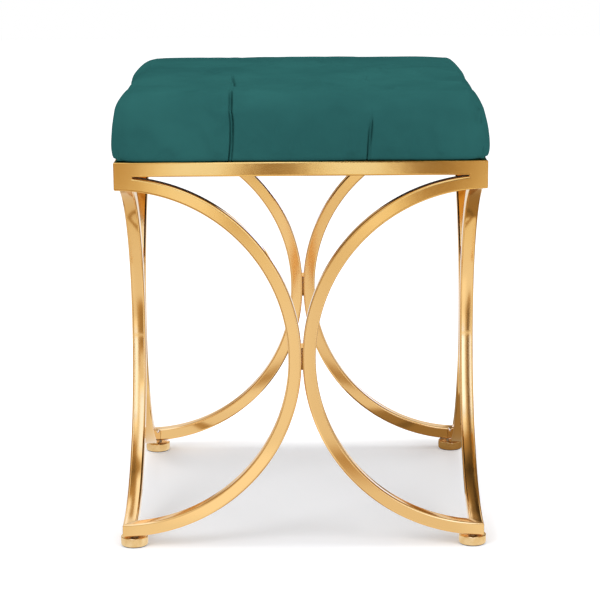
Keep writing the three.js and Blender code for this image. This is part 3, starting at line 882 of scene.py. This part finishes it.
def pan_head():
    """The profile of a screw: a domed head, then the shank up to its point."""
    turn = np.linspace(0, math.pi / 2, 9)
    dome_height = HEAD_TOP - HEAD_RIM - HEAD_DOME * np.cos(turn)
    dome = np.stack([HEAD_RADIUS * np.sin(turn), dome_height], axis=1)
    shank = [(HEAD_RADIUS, HEAD_TOP), (SHANK, HEAD_TOP), (SHANK, SCREW_HIGH.z - 0.8 * MM),
             (SHANK - 0.8 * MM, SCREW_HIGH.z), (0, SCREW_HIGH.z)]
    return np.vstack([dome, shank])


def cross_cutter(place):
    """Two crossing bars, whose lower halves stand out of the head."""
    mesh = bpy.data.meshes.new("cross")
    middle = Matrix.Translation((place.x, place.y, SCREW_LOW.z))
    with editing(mesh) as shape:
        for across in ((CROSS["long"], CROSS["wide"]), (CROSS["wide"], CROSS["long"])):
            size = Matrix.Diagonal((*across, CROSS["deep"], 1))
            bmesh.ops.create_cube(shape, size=1, matrix=middle @ size)
    return mesh


washer_corners = [(WASHER_BORE, WASHER_LOW.z), (WASHER_RADIUS, WASHER_LOW.z),
                  (WASHER_RADIUS, WASHER_HIGH.z), (WASHER_BORE, WASHER_HIGH.z),
                  (WASHER_BORE, WASHER_LOW.z)]
for corner, place in zip(CORNERS, SCREW_AT):
    screw = add_grid(corner + "_pan_screw", turned(pan_head(), place, 40), ZINC,
                     slot="zinc_steel", nodes=[corner + "_cushion_screw"])
    cut_out(screw, cross_cutter(place), crosses_itself=True)
    add_grid(corner + "_flat_washer", turned(washer_corners, place, 56), ZINC,
             slot="zinc_steel", nodes=[corner + "_washer"])
print("screws at", tuple(round(v, 4) for v in SCREW_AT[0]))

# %% [markdown]
# ## The cushion
#
# The cover is velvet over foam, pulled down by four sewn tufts. A block with rounded edges is the
# start: every point of a gridded box is drawn on to the radius round a smaller box inside it. Then
# come the swell of the sides, their lean inwards, the droop of the upper corners, the roll under at
# the rails, the tufts, and the soft dips that run from tuft to tuft and down the sides.

# %% Cushion dimensions
COVER_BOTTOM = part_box("seat_cover")[0].z
COVER_TOP, COVER_HALF, CROWN = 504.6 * MM, 199 * MM, 1.6 * MM
TUFT_AT = 74 * MM
EDGE = 21.5 * MM
ROLL_UNDER, ROLL_HIGH = 3.2 * MM, 3.4 * MM
BULGE, BULGE_AT = 4.3 * MM, 0.2
LEAN, LEAN_TO_ONE_SIDE, LEAN_BETWEEN, BETWEEN_REACH = 6.4 * MM, 3.0 * MM, 3.2 * MM, 70 * MM
FULL_REAR, FULL_REAR_LEFT, REAR_FROM, REAR_SOFT = 5.2 * MM, 3.3 * MM, 55 * MM, 14 * MM
CORNER_DROOP, LESS_DROOP = 5.5 * MM, 0.3
DIP_REACH = 15 * MM
SIDE_DIP, SHOULDER_DIP, TOP_DIP, LESS_TOP_DIP = 0.8 * MM, 23.0 * MM, 1.2 * MM, 0.2 * MM
LESS_FORWARD, LESS_BEHIND, MORE_RIGHT = 0.45, 0.7, 0.4
BEHIND_FROM, BEHIND_OVER = 60 * MM, 80 * MM
SLIDE, SLIDE_FROM, SLIDE_OVER = 20 * MM, 100 * MM, 95 * MM
TUFT_DEEP, TUFT_REACH = 5.5 * MM, 19 * MM
print("cushion from", round(COVER_BOTTOM, 4), "to", round(COVER_TOP + CROWN, 4), "m")


# %% Lines and boxes
def rounding_lines(edge, cell):
    """Distances of grid lines over a rounded edge, at even angles up to 45 degrees: the radius
    times the tangent of the angle."""
    steps = int(round(edge * math.pi / 4 / cell))
    return edge * np.tan(np.linspace(0, math.pi / 4, steps + 1)[1:])


def even_lines(core, edge, cell, fine_at=(), fine_cell=None):
    """Grid lines from -(core + edge) to core + edge: even over the core, closer round the given
    places, and at even angles over the rounded edge."""
    inner = np.linspace(-core, core, 2 * int(round(core / cell)) + 1)
    for place in fine_at:
        inner = inner[np.abs(inner - place) > 6 * fine_cell]
        inner = np.sort(np.concatenate([inner, place + fine_cell * np.arange(-5, 6)]))
    outer = core + rounding_lines(edge, cell)
    return np.concatenate([-outer[::-1], inner, outer])


def rise_lines(bottom, top, edge, cell):
    """The same up a side: even heights, then even angles over the rounded edge."""
    straight = np.linspace(bottom, top - edge, int(round((top - edge - bottom) / cell)) + 1)
    return np.concatenate([straight, top - edge + rounding_lines(edge, cell)])


def box_grids(across, heights, half, top):
    """The top and the four sides of a box, as grids of points."""
    x, y = np.meshgrid(across, across, indexing="ij")
    lid = grid_of(x, y, top)
    x, z = np.meshgrid(across, heights, indexing="ij")
    return [lid] + [quarter_turns(grid_of(x, -half, z), turns) for turns in range(4)]


def rounded_block(points, half, bottom, top, edge):
    """Points of a box drawn on to the rounding, and the directions that they face."""
    reach = half - edge
    core = np.clip(points, (-reach, -reach, bottom), (reach, reach, top - edge))
    facing = points - core
    facing /= np.linalg.norm(facing, axis=-1, keepdims=True)
    return core + edge * facing, facing


# %% Soft form
def bell(distance, reach):
    """1 in the middle and almost 0 at twice the reach."""
    return np.exp(-((distance / reach) ** 2))


def cushion_form(points, facing):
    """The whole soft form: out is how far a point moves outwards on the level, and dips and tufts
    are how far it moves in, against the way that it faces. Each is a depth times a bell or a ramp
    of the place. The rear stays fuller, the right dips deeper, and the dips between the tufts
    slide towards the front on the right."""
    x, y, z = points[..., 0], points[..., 1], points[..., 2]
    up = np.maximum(facing[..., 2], 0)
    level = np.clip((z - COVER_BOTTOM) / (COVER_TOP - COVER_BOTTOM), 0, 1)
    away = np.where(level > BULGE_AT, (level - BULGE_AT) / (1 - BULGE_AT),
                    (BULGE_AT - level) / BULGE_AT / 2)
    swell = BULGE * np.cos(np.minimum(away, 1) * math.pi / 2) ** 2
    under = np.maximum(1 - (z - COVER_BOTTOM) / ROLL_HIGH, 0)
    aside = facing[..., 0]
    between = LEAN_BETWEEN * np.abs(aside) * bell(y, BETWEEN_REACH)
    full = FULL_REAR * np.abs(aside) - FULL_REAR_LEFT * aside
    rear = full / (1 + np.exp((REAR_FROM - y) / REAR_SOFT))
    lean = (LEAN + LEAN_TO_ONE_SIDE * aside + between - rear) * level**2
    out = swell - ROLL_UNDER * (1 - np.sqrt(1 - under**2)) - lean
    droop = np.where((x < 0) & (y > 0), LESS_DROOP, 1 + 0.5 * x / COVER_HALF)
    near_corner = (np.abs(x * y) / COVER_HALF**2) ** 6 * droop
    slide = SLIDE * np.clip((x - SLIDE_FROM) / SLIDE_OVER, 0, 1) * (y < 0)
    off_x, off_y = np.abs(x) - TUFT_AT, np.abs(y + slide) - TUFT_AT
    shoulder = SIDE_DIP * (1 - up) + SHOULDER_DIP * up * (1 - up)
    behind = np.clip((y - BEHIND_FROM) / BEHIND_OVER, 0, 1)
    lengthwise = LESS_FORWARD * (1 - LESS_BEHIND * behind) * shoulder + LESS_TOP_DIP * up
    crosswise = shoulder * (1 + MORE_RIGHT * np.maximum(aside, 0)) + TOP_DIP * up
    dips = np.maximum(lengthwise * bell(off_x, DIP_REACH), crosswise * bell(off_y, DIP_REACH))
    tufts = TUFT_DEEP * up * bell(np.hypot(off_x, off_y), TUFT_REACH)
    rise = up * CROWN * (1 - (x / COVER_HALF) ** 2) * (1 - (y / COVER_HALF) ** 2)
    moved = points - facing * (dips + tufts)[..., None]
    moved[..., :2] += facing[..., :2] * out[..., None]
    moved[..., 2] += rise - CORNER_DROOP * near_corner * up
    return moved


tuft = cushion_form(np.array([[-TUFT_AT, -TUFT_AT, COVER_TOP]]), np.array([[0.0, 0.0, 1.0]]))
print("a tuft's bottom at", tuft.round(4).tolist())

# %% [markdown]
# A pleat is a narrow fold: two grooves, with a thin ridge between them where the cloth doubles
# over. Each wanders a little, leans to one side on its way down, and is pressed in harder on its
# left or on its right. On the top, short creases run out from the tufts. A crease is (from, to,
# depth, width) in millimetres.

# %% Pleats
GROOVE, GROOVE_WIDE, GROOVE_AT = 2.8 * MM, 0.7 * MM, 1.45 * MM
RIDGE, RIDGE_WIDE = 0.8 * MM, 0.65 * MM
WANDER, WANDER_TURNS, LEAN_REACH, HOOK_RISE = 0.5, 7, 30 * MM, 5
FOLDS = [((1.8, 1.0, 0.5, 3.0, 2.1), (0.82, 1.0, 0.1, 4.6, 2.2)),
         ((0.9, 0.9, 0.2, 4.0, 0), (1.3, 0.8, 0.5, -3.0, 0)),
         ((0.9, 0.9, 0.4, 3.0, 0), (0.8, 0.9, 0.2, -4.0, 0)),
         ((0.75, 1.0, 0.1, 5.0, 0), (1.2, 0.9, 0.5, 3.0, 0))]
CREASES = [((-71.2, -134), (-76, -44), 3.0, 1.2), ((-164, -90), (-138, -90), 1.0, 1.5),
           ((112, -90), (166, -89), 1.5, 1.3), ((74, -96), (74, -50), 1.0, 1.1),
           ((-124, 72), (-84, 75), 1.4, 2.4), ((84, 75), (128, 72), 1.4, 2.4),
           ((-38, 75), (22, 73), 1.2, 2.4)]
SHOULDER_CREASES = [((183, 499), (197, 480), 1.5, 1.4), ((180, 493), (196, 466), 1.1, 1.7)]


def fold_level(flat):
    """How far up a side a point lies, as a share of the height at which its edge starts to round.
    It goes on rising over the top, by the distance from the side."""
    height = flat[..., 2] - COVER_BOTTOM + COVER_HALF + flat[..., 1]
    return height / (COVER_TOP - EDGE - COVER_BOTTOM)


def fold_lean(flat, folds):
    """How far each fold has wandered sideways at the height of each point, faded out beside it: a
    sine that grows downwards, a lean, and a hook just under the edge."""
    along, level = flat[..., 0], fold_level(flat)
    below = np.maximum(1 - level, 0)
    moves = np.zeros(along.shape)
    for sign, fold in zip((-1, 1), folds):
        path = WANDER * below * np.sin(level * WANDER_TURNS + sign) - fold[3] * below**1.3
        hook = fold[4] * np.tanh(HOOK_RISE * below)
        moves = moves + (path + hook) * MM * bell(along - sign * TUFT_AT, LEAN_REACH)
    return moves


def fold_moves(flat, folds):
    """Folds at either hand of a side. Each is (the level that it runs up to, how deep its left
    groove is, how deep its right one is, how far it leans, how far it lies aside); the two grooves
    change places half way up. A groove is a bell below the surface, and the ridge one above it."""
    level, moves = fold_level(flat), np.zeros(flat.shape[:2])
    for sign, (top, left, right, *_) in zip((-1, 1), folds):
        off = flat[..., 0] - sign * TUFT_AT
        shown = 1 / (1 + np.exp(np.clip((level - top) * 14, -50, 50)))
        turn = 0.5 + 0.5 * np.tanh((level - 0.5) * 3)
        near, far = left * (1 - turn) + right * turn, right * (1 - turn) + left * turn
        grooves = near * bell(off + GROOVE_AT, GROOVE_WIDE) + far * bell(off - GROOVE_AT, GROOVE_WIDE)
        moves = moves + shown * (RIDGE * bell(off, RIDGE_WIDE) - GROOVE * grooves)
    return moves


def crease_moves(flat, creases):
    """Short creases: a narrow groove along a line across the first two numbers of each point,
    which fades at its ends."""
    moves = np.zeros(flat.shape[:2])
    for start, end, depth, width in creases:
        start, end = np.array(start) * MM, np.array(end) * MM
        along = (end - start) / np.linalg.norm(end - start)
        from_start = flat[..., :2] - start
        share = (from_start @ along) / np.linalg.norm(end - start)
        aside = from_start @ np.array([-along[1], along[0]])
        shown = np.clip(4 * share * (1 - share), 0, 1) ** 0.5
        groove = bell(aside, width * MM) - 0.5 * bell(aside - 2 * width * MM, width * MM)
        moves = moves - depth * MM * shown * groove
    return moves


print("pleats", round(GROOVE / MM, 1), "mm deep and", round(2 * GROOVE_WIDE / MM, 1), "mm wide")

# %% [markdown]
# Cloth finds its own wrinkles, so the form is inflated by a short simulation on a coarse grid: the
# hem, the tufts and, more softly, the pleats are pinned, and the cloth is a little too large. What
# it swelled broadly is taken off again, the rest is limited and read back on to a fine grid by
# cubic interpolation, and the sharp pleats are pressed in last, because a coarse cloth can't hold
# them. Towards the rear the wrinkles are calmed, because the far edge looks straight.

# %% Joining and pinning
CLOTH_CELL = 5 * MM
CLOTH_FRAMES = 20
CLOTH_CAP = 1.4 * MM
SOFTEN_ROUNDS = 60
MERGE = 0.02 * MM
HEM_PIN, TUFT_PIN, LINE_PIN, PIN_FADE = 7 * MM, 5 * MM, 4 * MM, 4 * MM
PINNED_TOP, LINES_BELOW, LINE_HOLD = 12 * MM, 30 * MM, 0.25


def join_grids(grids):
    """One mesh from grids that meet along their borders: points, faces, and where each grid's
    points ended up."""
    points = np.vstack([grid.reshape(-1, 3) for grid in grids])
    keys = np.round(points / MERGE).astype(np.int64)
    _, first, back = np.unique(keys, axis=0, return_index=True, return_inverse=True)
    back = back.ravel()
    faces, start = [], 0
    for grid in grids:
        faces.append(grid_faces(*grid.shape[:2]) + start)
        start += grid.shape[0] * grid.shape[1]
    return points[first], back[np.vstack(faces)], back


def pin_weights(points):
    """How firmly each point is held: the hem fully, the tufts fully, and the pleats a little."""
    x, y, z = points.T
    off_x, off_y = np.abs(np.abs(x) - TUFT_AT), np.abs(np.abs(y) - TUFT_AT)
    hem = np.clip((COVER_BOTTOM + HEM_PIN - z) / PIN_FADE, 0, 1)
    tufts = np.clip(1.6 - np.hypot(off_x, off_y) / TUFT_PIN, 0, 1) * (z > COVER_TOP - PINNED_TOP)
    lines = np.clip(1.4 - np.minimum(off_x, off_y) / LINE_PIN, 0, 1) * (z < COVER_TOP - LINES_BELOW)
    return np.maximum.reduce([hem, tufts, LINE_HOLD * lines])


# %% Cloth simulation
def simulate_cloth(points, faces, weights):
    """The points after the cloth has been blown up for a few frames."""
    mesh = bpy.data.meshes.new("cloth")
    mesh.from_pydata(points.tolist(), [], faces.tolist())
    cloth = add_object("cloth", mesh)
    group = cloth.vertex_groups.new(name="pins")
    for weight in np.unique(np.round(weights, 2)):
        group.add(np.where(np.abs(weights - weight) < 0.0051)[0].tolist(), float(weight), "REPLACE")
    modifier = cloth.modifiers.new("cloth", "CLOTH")
    settings = modifier.settings
    settings.quality = 6
    settings.mass = 0.3
    settings.tension_stiffness = settings.compression_stiffness = 60
    settings.shear_stiffness = 20
    settings.bending_stiffness = 2
    settings.use_pressure = True
    settings.uniform_pressure_force = 1.5
    settings.shrink_min = -0.02
    settings.vertex_group_mass = "pins"
    settings.effector_weights.gravity = 0
    modifier.point_cache.frame_end = CLOTH_FRAMES
    for step in range(1, CLOTH_FRAMES + 1):
        bpy.context.scene.frame_set(step)
    made = cloth.evaluated_get(bpy.context.evaluated_depsgraph_get())
    moved = np.zeros(len(points) * 3)
    made.data.vertices.foreach_get("co", moved)
    bpy.context.scene.frame_set(1)
    bpy.data.objects.remove(cloth)
    bpy.data.meshes.remove(mesh)
    return moved.reshape(-1, 3)


# %% Softening and reading back
def soften(values, faces, rounds):
    """Values averaged again and again with those of the neighbours across each face's edges."""
    ends = np.vstack([faces[:, [side, (side + 1) % 4]] for side in range(4)])
    count = np.bincount(ends.ravel(), minlength=len(values))[:, None]
    for _ in range(rounds):
        total = np.zeros_like(values)
        np.add.at(total, ends[:, 0], values[ends[:, 1]])
        np.add.at(total, ends[:, 1], values[ends[:, 0]])
        values = 0.5 * values + 0.5 * total / count
    return values


def cubic_weights(fine, coarse):
    """A matrix that reads values on coarse lines at fine places: Catmull-Rom cubics, whose slopes
    are those between the neighbours on either side."""
    rows = np.arange(len(fine))
    cell = np.clip(np.searchsorted(coarse, fine) - 1, 0, len(coarse) - 2)
    t = (fine - coarse[cell]) / (coarse[cell + 1] - coarse[cell])
    shares = [-0.5 * t + t**2 - 0.5 * t**3, 1 - 2.5 * t**2 + 1.5 * t**3,
              0.5 * t + 2 * t**2 - 1.5 * t**3, -0.5 * t**2 + 0.5 * t**3]
    weights = np.zeros((len(fine), len(coarse)))
    for offset, share in zip((-1, 0, 1, 2), shares):
        np.add.at(weights, (rows, np.clip(cell + offset, 0, len(coarse) - 1)), share)
    return weights


# %% Coarse cloth, fine cover
FINE_CELL, CREASE_CELL = 2.6 * MM, 0.7 * MM
CALM_FROM, CALM_OVER, CALM_SHARE = 110 * MM, 70 * MM, 0.75

coarse_lines = even_lines(COVER_HALF - EDGE, EDGE, CLOTH_CELL)
coarse_rise = rise_lines(COVER_BOTTOM, COVER_TOP, EDGE, CLOTH_CELL)
fine_lines = even_lines(COVER_HALF - EDGE, EDGE, FINE_CELL, (-TUFT_AT, TUFT_AT), CREASE_CELL)
fine_rise = rise_lines(COVER_BOTTOM, COVER_TOP, EDGE, FINE_CELL)


def formed(across, heights):
    """The soft form on a grid, with the directions that its points face. The lines of the sides
    lean with the pleats."""
    grids = box_grids(across, heights, COVER_HALF, COVER_TOP)
    for turns in range(4):
        flat = quarter_turns(grids[1 + turns], -turns)
        flat[..., 0] += fold_lean(flat, FOLDS[turns])
        grids[1 + turns] = quarter_turns(flat, turns)
    rounded = [rounded_block(grid, COVER_HALF, COVER_BOTTOM, COVER_TOP, EDGE) for grid in grids]
    return [cushion_form(*pair) for pair in rounded], [facing for _, facing in rounded]


def cloth_moves():
    """What the cloth moved, on the coarse grids, no further than the cap."""
    grids, _ = formed(coarse_lines, coarse_rise)
    points, faces, back = join_grids(grids)
    moves = simulate_cloth(points, faces, pin_weights(points)) - points
    moves -= soften(moves, faces, SOFTEN_ROUNDS)
    length = np.linalg.norm(moves, axis=1, keepdims=True)
    moves *= np.tanh(length / CLOTH_CAP) * CLOTH_CAP / np.maximum(length, 1e-9)
    print("cloth moved by", (length.mean() / MM).round(2), "mm, up to", (length.max() / MM).round(2))
    starts = np.cumsum([grid.shape[0] * grid.shape[1] for grid in grids])[:-1]
    return [part.reshape(grid.shape) for part, grid in zip(np.split(moves[back], starts), grids)]


across_weights = cubic_weights(fine_lines, coarse_lines)
rise_weights = cubic_weights(fine_rise, coarse_rise)
fine_grids, fine_facing = formed(fine_lines, fine_rise)
for number, moves in enumerate(cloth_moves()):
    other = across_weights if number == 0 else rise_weights
    to_rear = np.clip((fine_grids[number][..., 1:2] - CALM_FROM) / CALM_OVER, 0, 1)
    fine_moves = np.einsum("ai,ijk,bj->abk", across_weights, moves, other)
    fine_grids[number] = fine_grids[number] + (1 - CALM_SHARE * to_rear) * fine_moves
print("cover's grids", [grid.shape[:2] for grid in fine_grids])

# %% [markdown]
# ## Velvet
#
# Velvet is a short dense pile that leans one way or another, so large soft clouds of a paler tone
# lie over it. Its pile drinks the light, so it is rough with no shine, and a little sheen stands
# for the tips of the pile, which catch light at a grazing angle.

# %% Velvet cloth
TEAL_NAP, TEAL_DEEP = (43, 95, 93), (38, 86, 85)


def velvet_cloth():
    """Two teals by a cloudy noise, with a relief as fine as the pile."""
    velvet = material("teal_velvet")
    nap = velvet.clouds(0.09, 3)
    pile = velvet.noise(0.0006, 2)
    return velvet.surface(
        base_color=velvet.mix(nap, TEAL_DEEP, TEAL_NAP),
        roughness=0.86 + 0.08 * pile,
        sheen_weight=0.02,
        sheen_roughness=0.5,
        sheen_tint=colour((60, 170, 165)),
        specular_ior_level=0.0,
        normal=velvet.bump(pile, 0.00012, 0.5),
    )


VELVET = velvet_cloth()
print("velvet between", TEAL_DEEP, "and", TEAL_NAP)

# %% [markdown]
# ## The cover
#
# The cover is one closed skin: the velvet that shows, the hem that turns in under the board, and a
# lining up inside, which gives the cloth its thickness. The inside follows a short profile of
# (distance in from the side, height). The sharp pleats and creases are pressed in along the way
# that the cloth faces.

# %% Cover
HEM_WIDTH, HEM_THICK = 17.5 * MM, 1.2 * MM
HEM_TOP = COVER_BOTTOM + HEM_THICK
INSIDE = [(HEM_WIDTH, COVER_BOTTOM), (HEM_WIDTH, HEM_TOP), (4 * MM, HEM_TOP),
          (4.4 * MM, 446 * MM), (14 * MM, 476 * MM), (32 * MM, 489 * MM)]


def close_and_orient(piece, two_rims=False):
    """Fills the one hole that a mesh still has, or joins its two rims, and turns all its faces
    outwards."""
    with editing(piece.data) as shape:
        rim = [edge for edge in shape.edges if edge.is_boundary]
        print(piece.name, "had open rims of", len(rim), "edges")
        if two_rims:
            bmesh.ops.bridge_loops(shape, edges=rim)
        else:
            bmesh.ops.holes_fill(shape, edges=rim, sides=0)
        bmesh.ops.recalc_face_normals(shape, faces=shape.faces)


flats = box_grids(fine_lines, fine_rise, COVER_HALF, COVER_TOP)
lid_moves = crease_moves(flats[0], CREASES)
for turns in range(4):
    lid_moves = lid_moves + fold_moves(quarter_turns(flats[0], -turns), FOLDS[turns])
fine_grids[0] = fine_grids[0] + fine_facing[0] * lid_moves[..., None]
for turns in range(4):
    flat = quarter_turns(flats[1 + turns], -turns)
    moves = fold_moves(flat, FOLDS[turns])
    if turns == 0:
        x_and_z = flat[..., ::2]
        moves = moves + crease_moves(x_and_z, SHOULDER_CREASES)
    side = fine_grids[1 + turns] + fine_facing[1 + turns] * moves[..., None]
    share = flat[:, :1, 0] / COVER_HALF
    inside = [grid_of(share * (HALF - inset), inset - HALF, height) for inset, height in reversed(INSIDE)]
    fine_grids[1 + turns] = np.concatenate([quarter_turns(row, turns) for row in inside] + [side], axis=1)
points, faces, _ = join_grids(fine_grids)
cover = add_piece("velvet_cover", points, faces, VELVET, sharp=80,
                  slot="teal_velvet", nodes=["seat_cover"])
close_and_orient(cover)
print("cover", len(cover.data.vertices), "points")

# %% [markdown]
# ## Inside and under the cushion
#
# The cover goes round a foam block and is stapled under a plywood board. A black non-woven lining
# is stapled over the hem. It is stretched between its staples and sags a little in the middle.

# %% Foam, lining and staples
FOAM_HALF, FOAM_EDGE = 190 * MM, 32 * MM
FOAM_BOTTOM, FOAM_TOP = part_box("foam_pad")[0].z, 488 * MM
LINING_LOW, LINING_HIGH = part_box("dust_cover")
LINING_HALF, LINING_LINES = LINING_HIGH.x, 73
SAG, SAG_OVER = 0.35 * MM, 20 * MM
STAPLE = {"long": 10 * MM, "thick": 0.6 * MM, "in": 5 * MM, "from_corner": 14 * MM, "count": 9}


def open_foam():
    """Cream foam: a noise as fine as its cells makes its colour and its relief."""
    foam = material("seat_foam")
    cells = foam.noise(0.0015, 2)
    return foam.surface(base_color=foam.mix(cells, (226, 212, 172), (240, 230, 200)), roughness=0.95,
                        normal=foam.bump(cells, 0.0004, 0.6))


def black_lining():
    """Non-woven cloth: a dotted emboss on a fibrous black."""
    lining = material("black_lining")
    dots = lining.add("ShaderNodeTexVoronoi", {"feature": "F1"},
                      {"Vector": lining.place(), "Scale": 900.0, "Randomness": 0.1})
    fibres = lining.noise(0.0008, 3, (1, 4, 1))
    return lining.surface(base_color=lining.mix(fibres, (20, 20, 21), (38, 38, 40)), roughness=0.8,
                          specular_ior_level=0.3, normal=lining.bump(dots, 0.0002, 0.6))


FOAM, LINING_CLOTH = open_foam(), black_lining()
foam_lines = even_lines(FOAM_HALF - FOAM_EDGE, FOAM_EDGE, 9 * MM)
foam_rise = rise_lines(FOAM_BOTTOM, FOAM_TOP, FOAM_EDGE, 9 * MM)
foam_grids = [rounded_block(grid, FOAM_HALF, FOAM_BOTTOM, FOAM_TOP, FOAM_EDGE)[0]
              for grid in box_grids(foam_lines, foam_rise, FOAM_HALF, FOAM_TOP)]
points, faces, _ = join_grids(foam_grids)
foam = add_piece("foam_block", points, faces, FOAM, slot="foam", nodes=["foam_pad"])
close_and_orient(foam)


def lining_sheet():
    """The lining as an under side and an upper side. The under side hangs down by a root of the
    distance from the edge, times slow waves."""
    lines = np.linspace(-LINING_HALF, LINING_HALF, LINING_LINES)
    x, y = np.meshgrid(lines, lines, indexing="ij")
    from_edge = LINING_HALF - np.maximum(np.abs(x), np.abs(y))
    waves = 0.6 + 0.4 * np.sin(x / (31 * MM)) * np.cos(y / (23 * MM))
    under = LINING_LOW.z + 0.1 * MM - SAG * np.clip(from_edge / SAG_OVER, 0, 1) ** 0.5 * waves
    points = [grid_of(x, y, height).reshape(-1, 3) for height in (under, LINING_HIGH.z)]
    faces = grid_faces(LINING_LINES, LINING_LINES)
    return np.vstack(points), np.vstack([faces[:, ::-1], faces + LINING_LINES**2])


def staples():
    """Flat wire bridges near the edge of the lining, as one piece: boxes, each with 8 points."""
    at = np.linspace(-1, 1, STAPLE["count"]) * (LINING_HALF - STAPLE["from_corner"])
    unit = np.array([(x, y, z) for z in (-1, 1) for x, y in QUAD]) / 2
    middle = grid_of(at, STAPLE["in"] - LINING_HALF, LINING_LOW.z)
    side = middle[:, None] + unit * (STAPLE["long"], STAPLE["thick"], STAPLE["thick"])
    points = np.concatenate([quarter_turns(side, turns) for turns in range(4)]).reshape(-1, 3)
    box = np.array([(3, 2, 1, 0), (4, 5, 6, 7), (0, 1, 5, 4), (1, 2, 6, 5), (2, 3, 7, 6), (3, 0, 4, 7)])
    return points, (box + 8 * np.arange(len(points) // 8)[:, None, None]).reshape(-1, 4)


lining = add_piece("stapled_lining", *lining_sheet(), LINING_CLOTH,
                   slot="black_lining", nodes=["dust_cover"])
close_and_orient(lining, two_rims=True)
wire = add_piece("lining_staples", *staples(), ZINC, slot="zinc_steel")
print("foam", round(FOAM_TOP - FOAM_BOTTOM, 4), "thick, lining", round(2 * LINING_HALF, 4), "wide")

# %% [markdown]
# The board, the tee nuts, the twine and the corner plates keep the shapes of their solids, and
# only get their finishes.

# %% Plywood and twine
PLY_PAIR = 3.5 * MM


def plywood():
    """Birch plywood: long grain on the faces, and plies that show as bands up the edge."""
    ply = material("birch_plywood")
    grain = ply.noise(0.004, 4, (1, 0.08, 1))
    phase = ply.along("Z") * (2 * math.pi / PLY_PAIR)
    plies = ply.add("ShaderNodeMath", {"operation": "SINE"}, {0: phase})
    band = ply.mix(0.5 + 0.5 * plies, (176, 138, 92), (214, 180, 132))
    face = ply.mix(grain, (204, 166, 116), (224, 192, 146))
    facing = ply.along("Z", ply.add("ShaderNodeNewGeometry", output="Normal"))
    on_face = ply.ramp(facing * facing, 0.4, 0.6)
    return ply.surface(base_color=ply.mix(on_face, band, face), roughness=0.62,
                       normal=ply.bump(grain, 0.0002, 0.4))


def waxed_twine():
    """Off-white strands: slanting waves make the colour and the relief."""
    twine = material("waxed_twine")
    strands = twine.add("ShaderNodeTexWave", {"bands_direction": "DIAGONAL"},
                        {"Vector": twine.place(), "Scale": 500.0})
    return twine.surface(base_color=twine.mix(strands, (196, 190, 176), (236, 232, 222)), roughness=0.7,
                         normal=twine.bump(strands, 0.0002, 0.5))


# %% Dress the solids
def dress(names, finish):
    """Gives solids a finish in place of their plain one."""
    for name in names:
        nodes[name].data.materials.clear()
        nodes[name].data.materials.append(finish)


dress(["seat_board"], plywood())
dress([corner + "_tufting_twine" for corner in CORNERS], waxed_twine())
dress([corner + "_tee_nut" for corner in CORNERS], ZINC)
dress([corner + "_corner_plate" for corner in CORNERS], GOLD)
print("finishes on the board, the twine, the tee nuts and the plates")
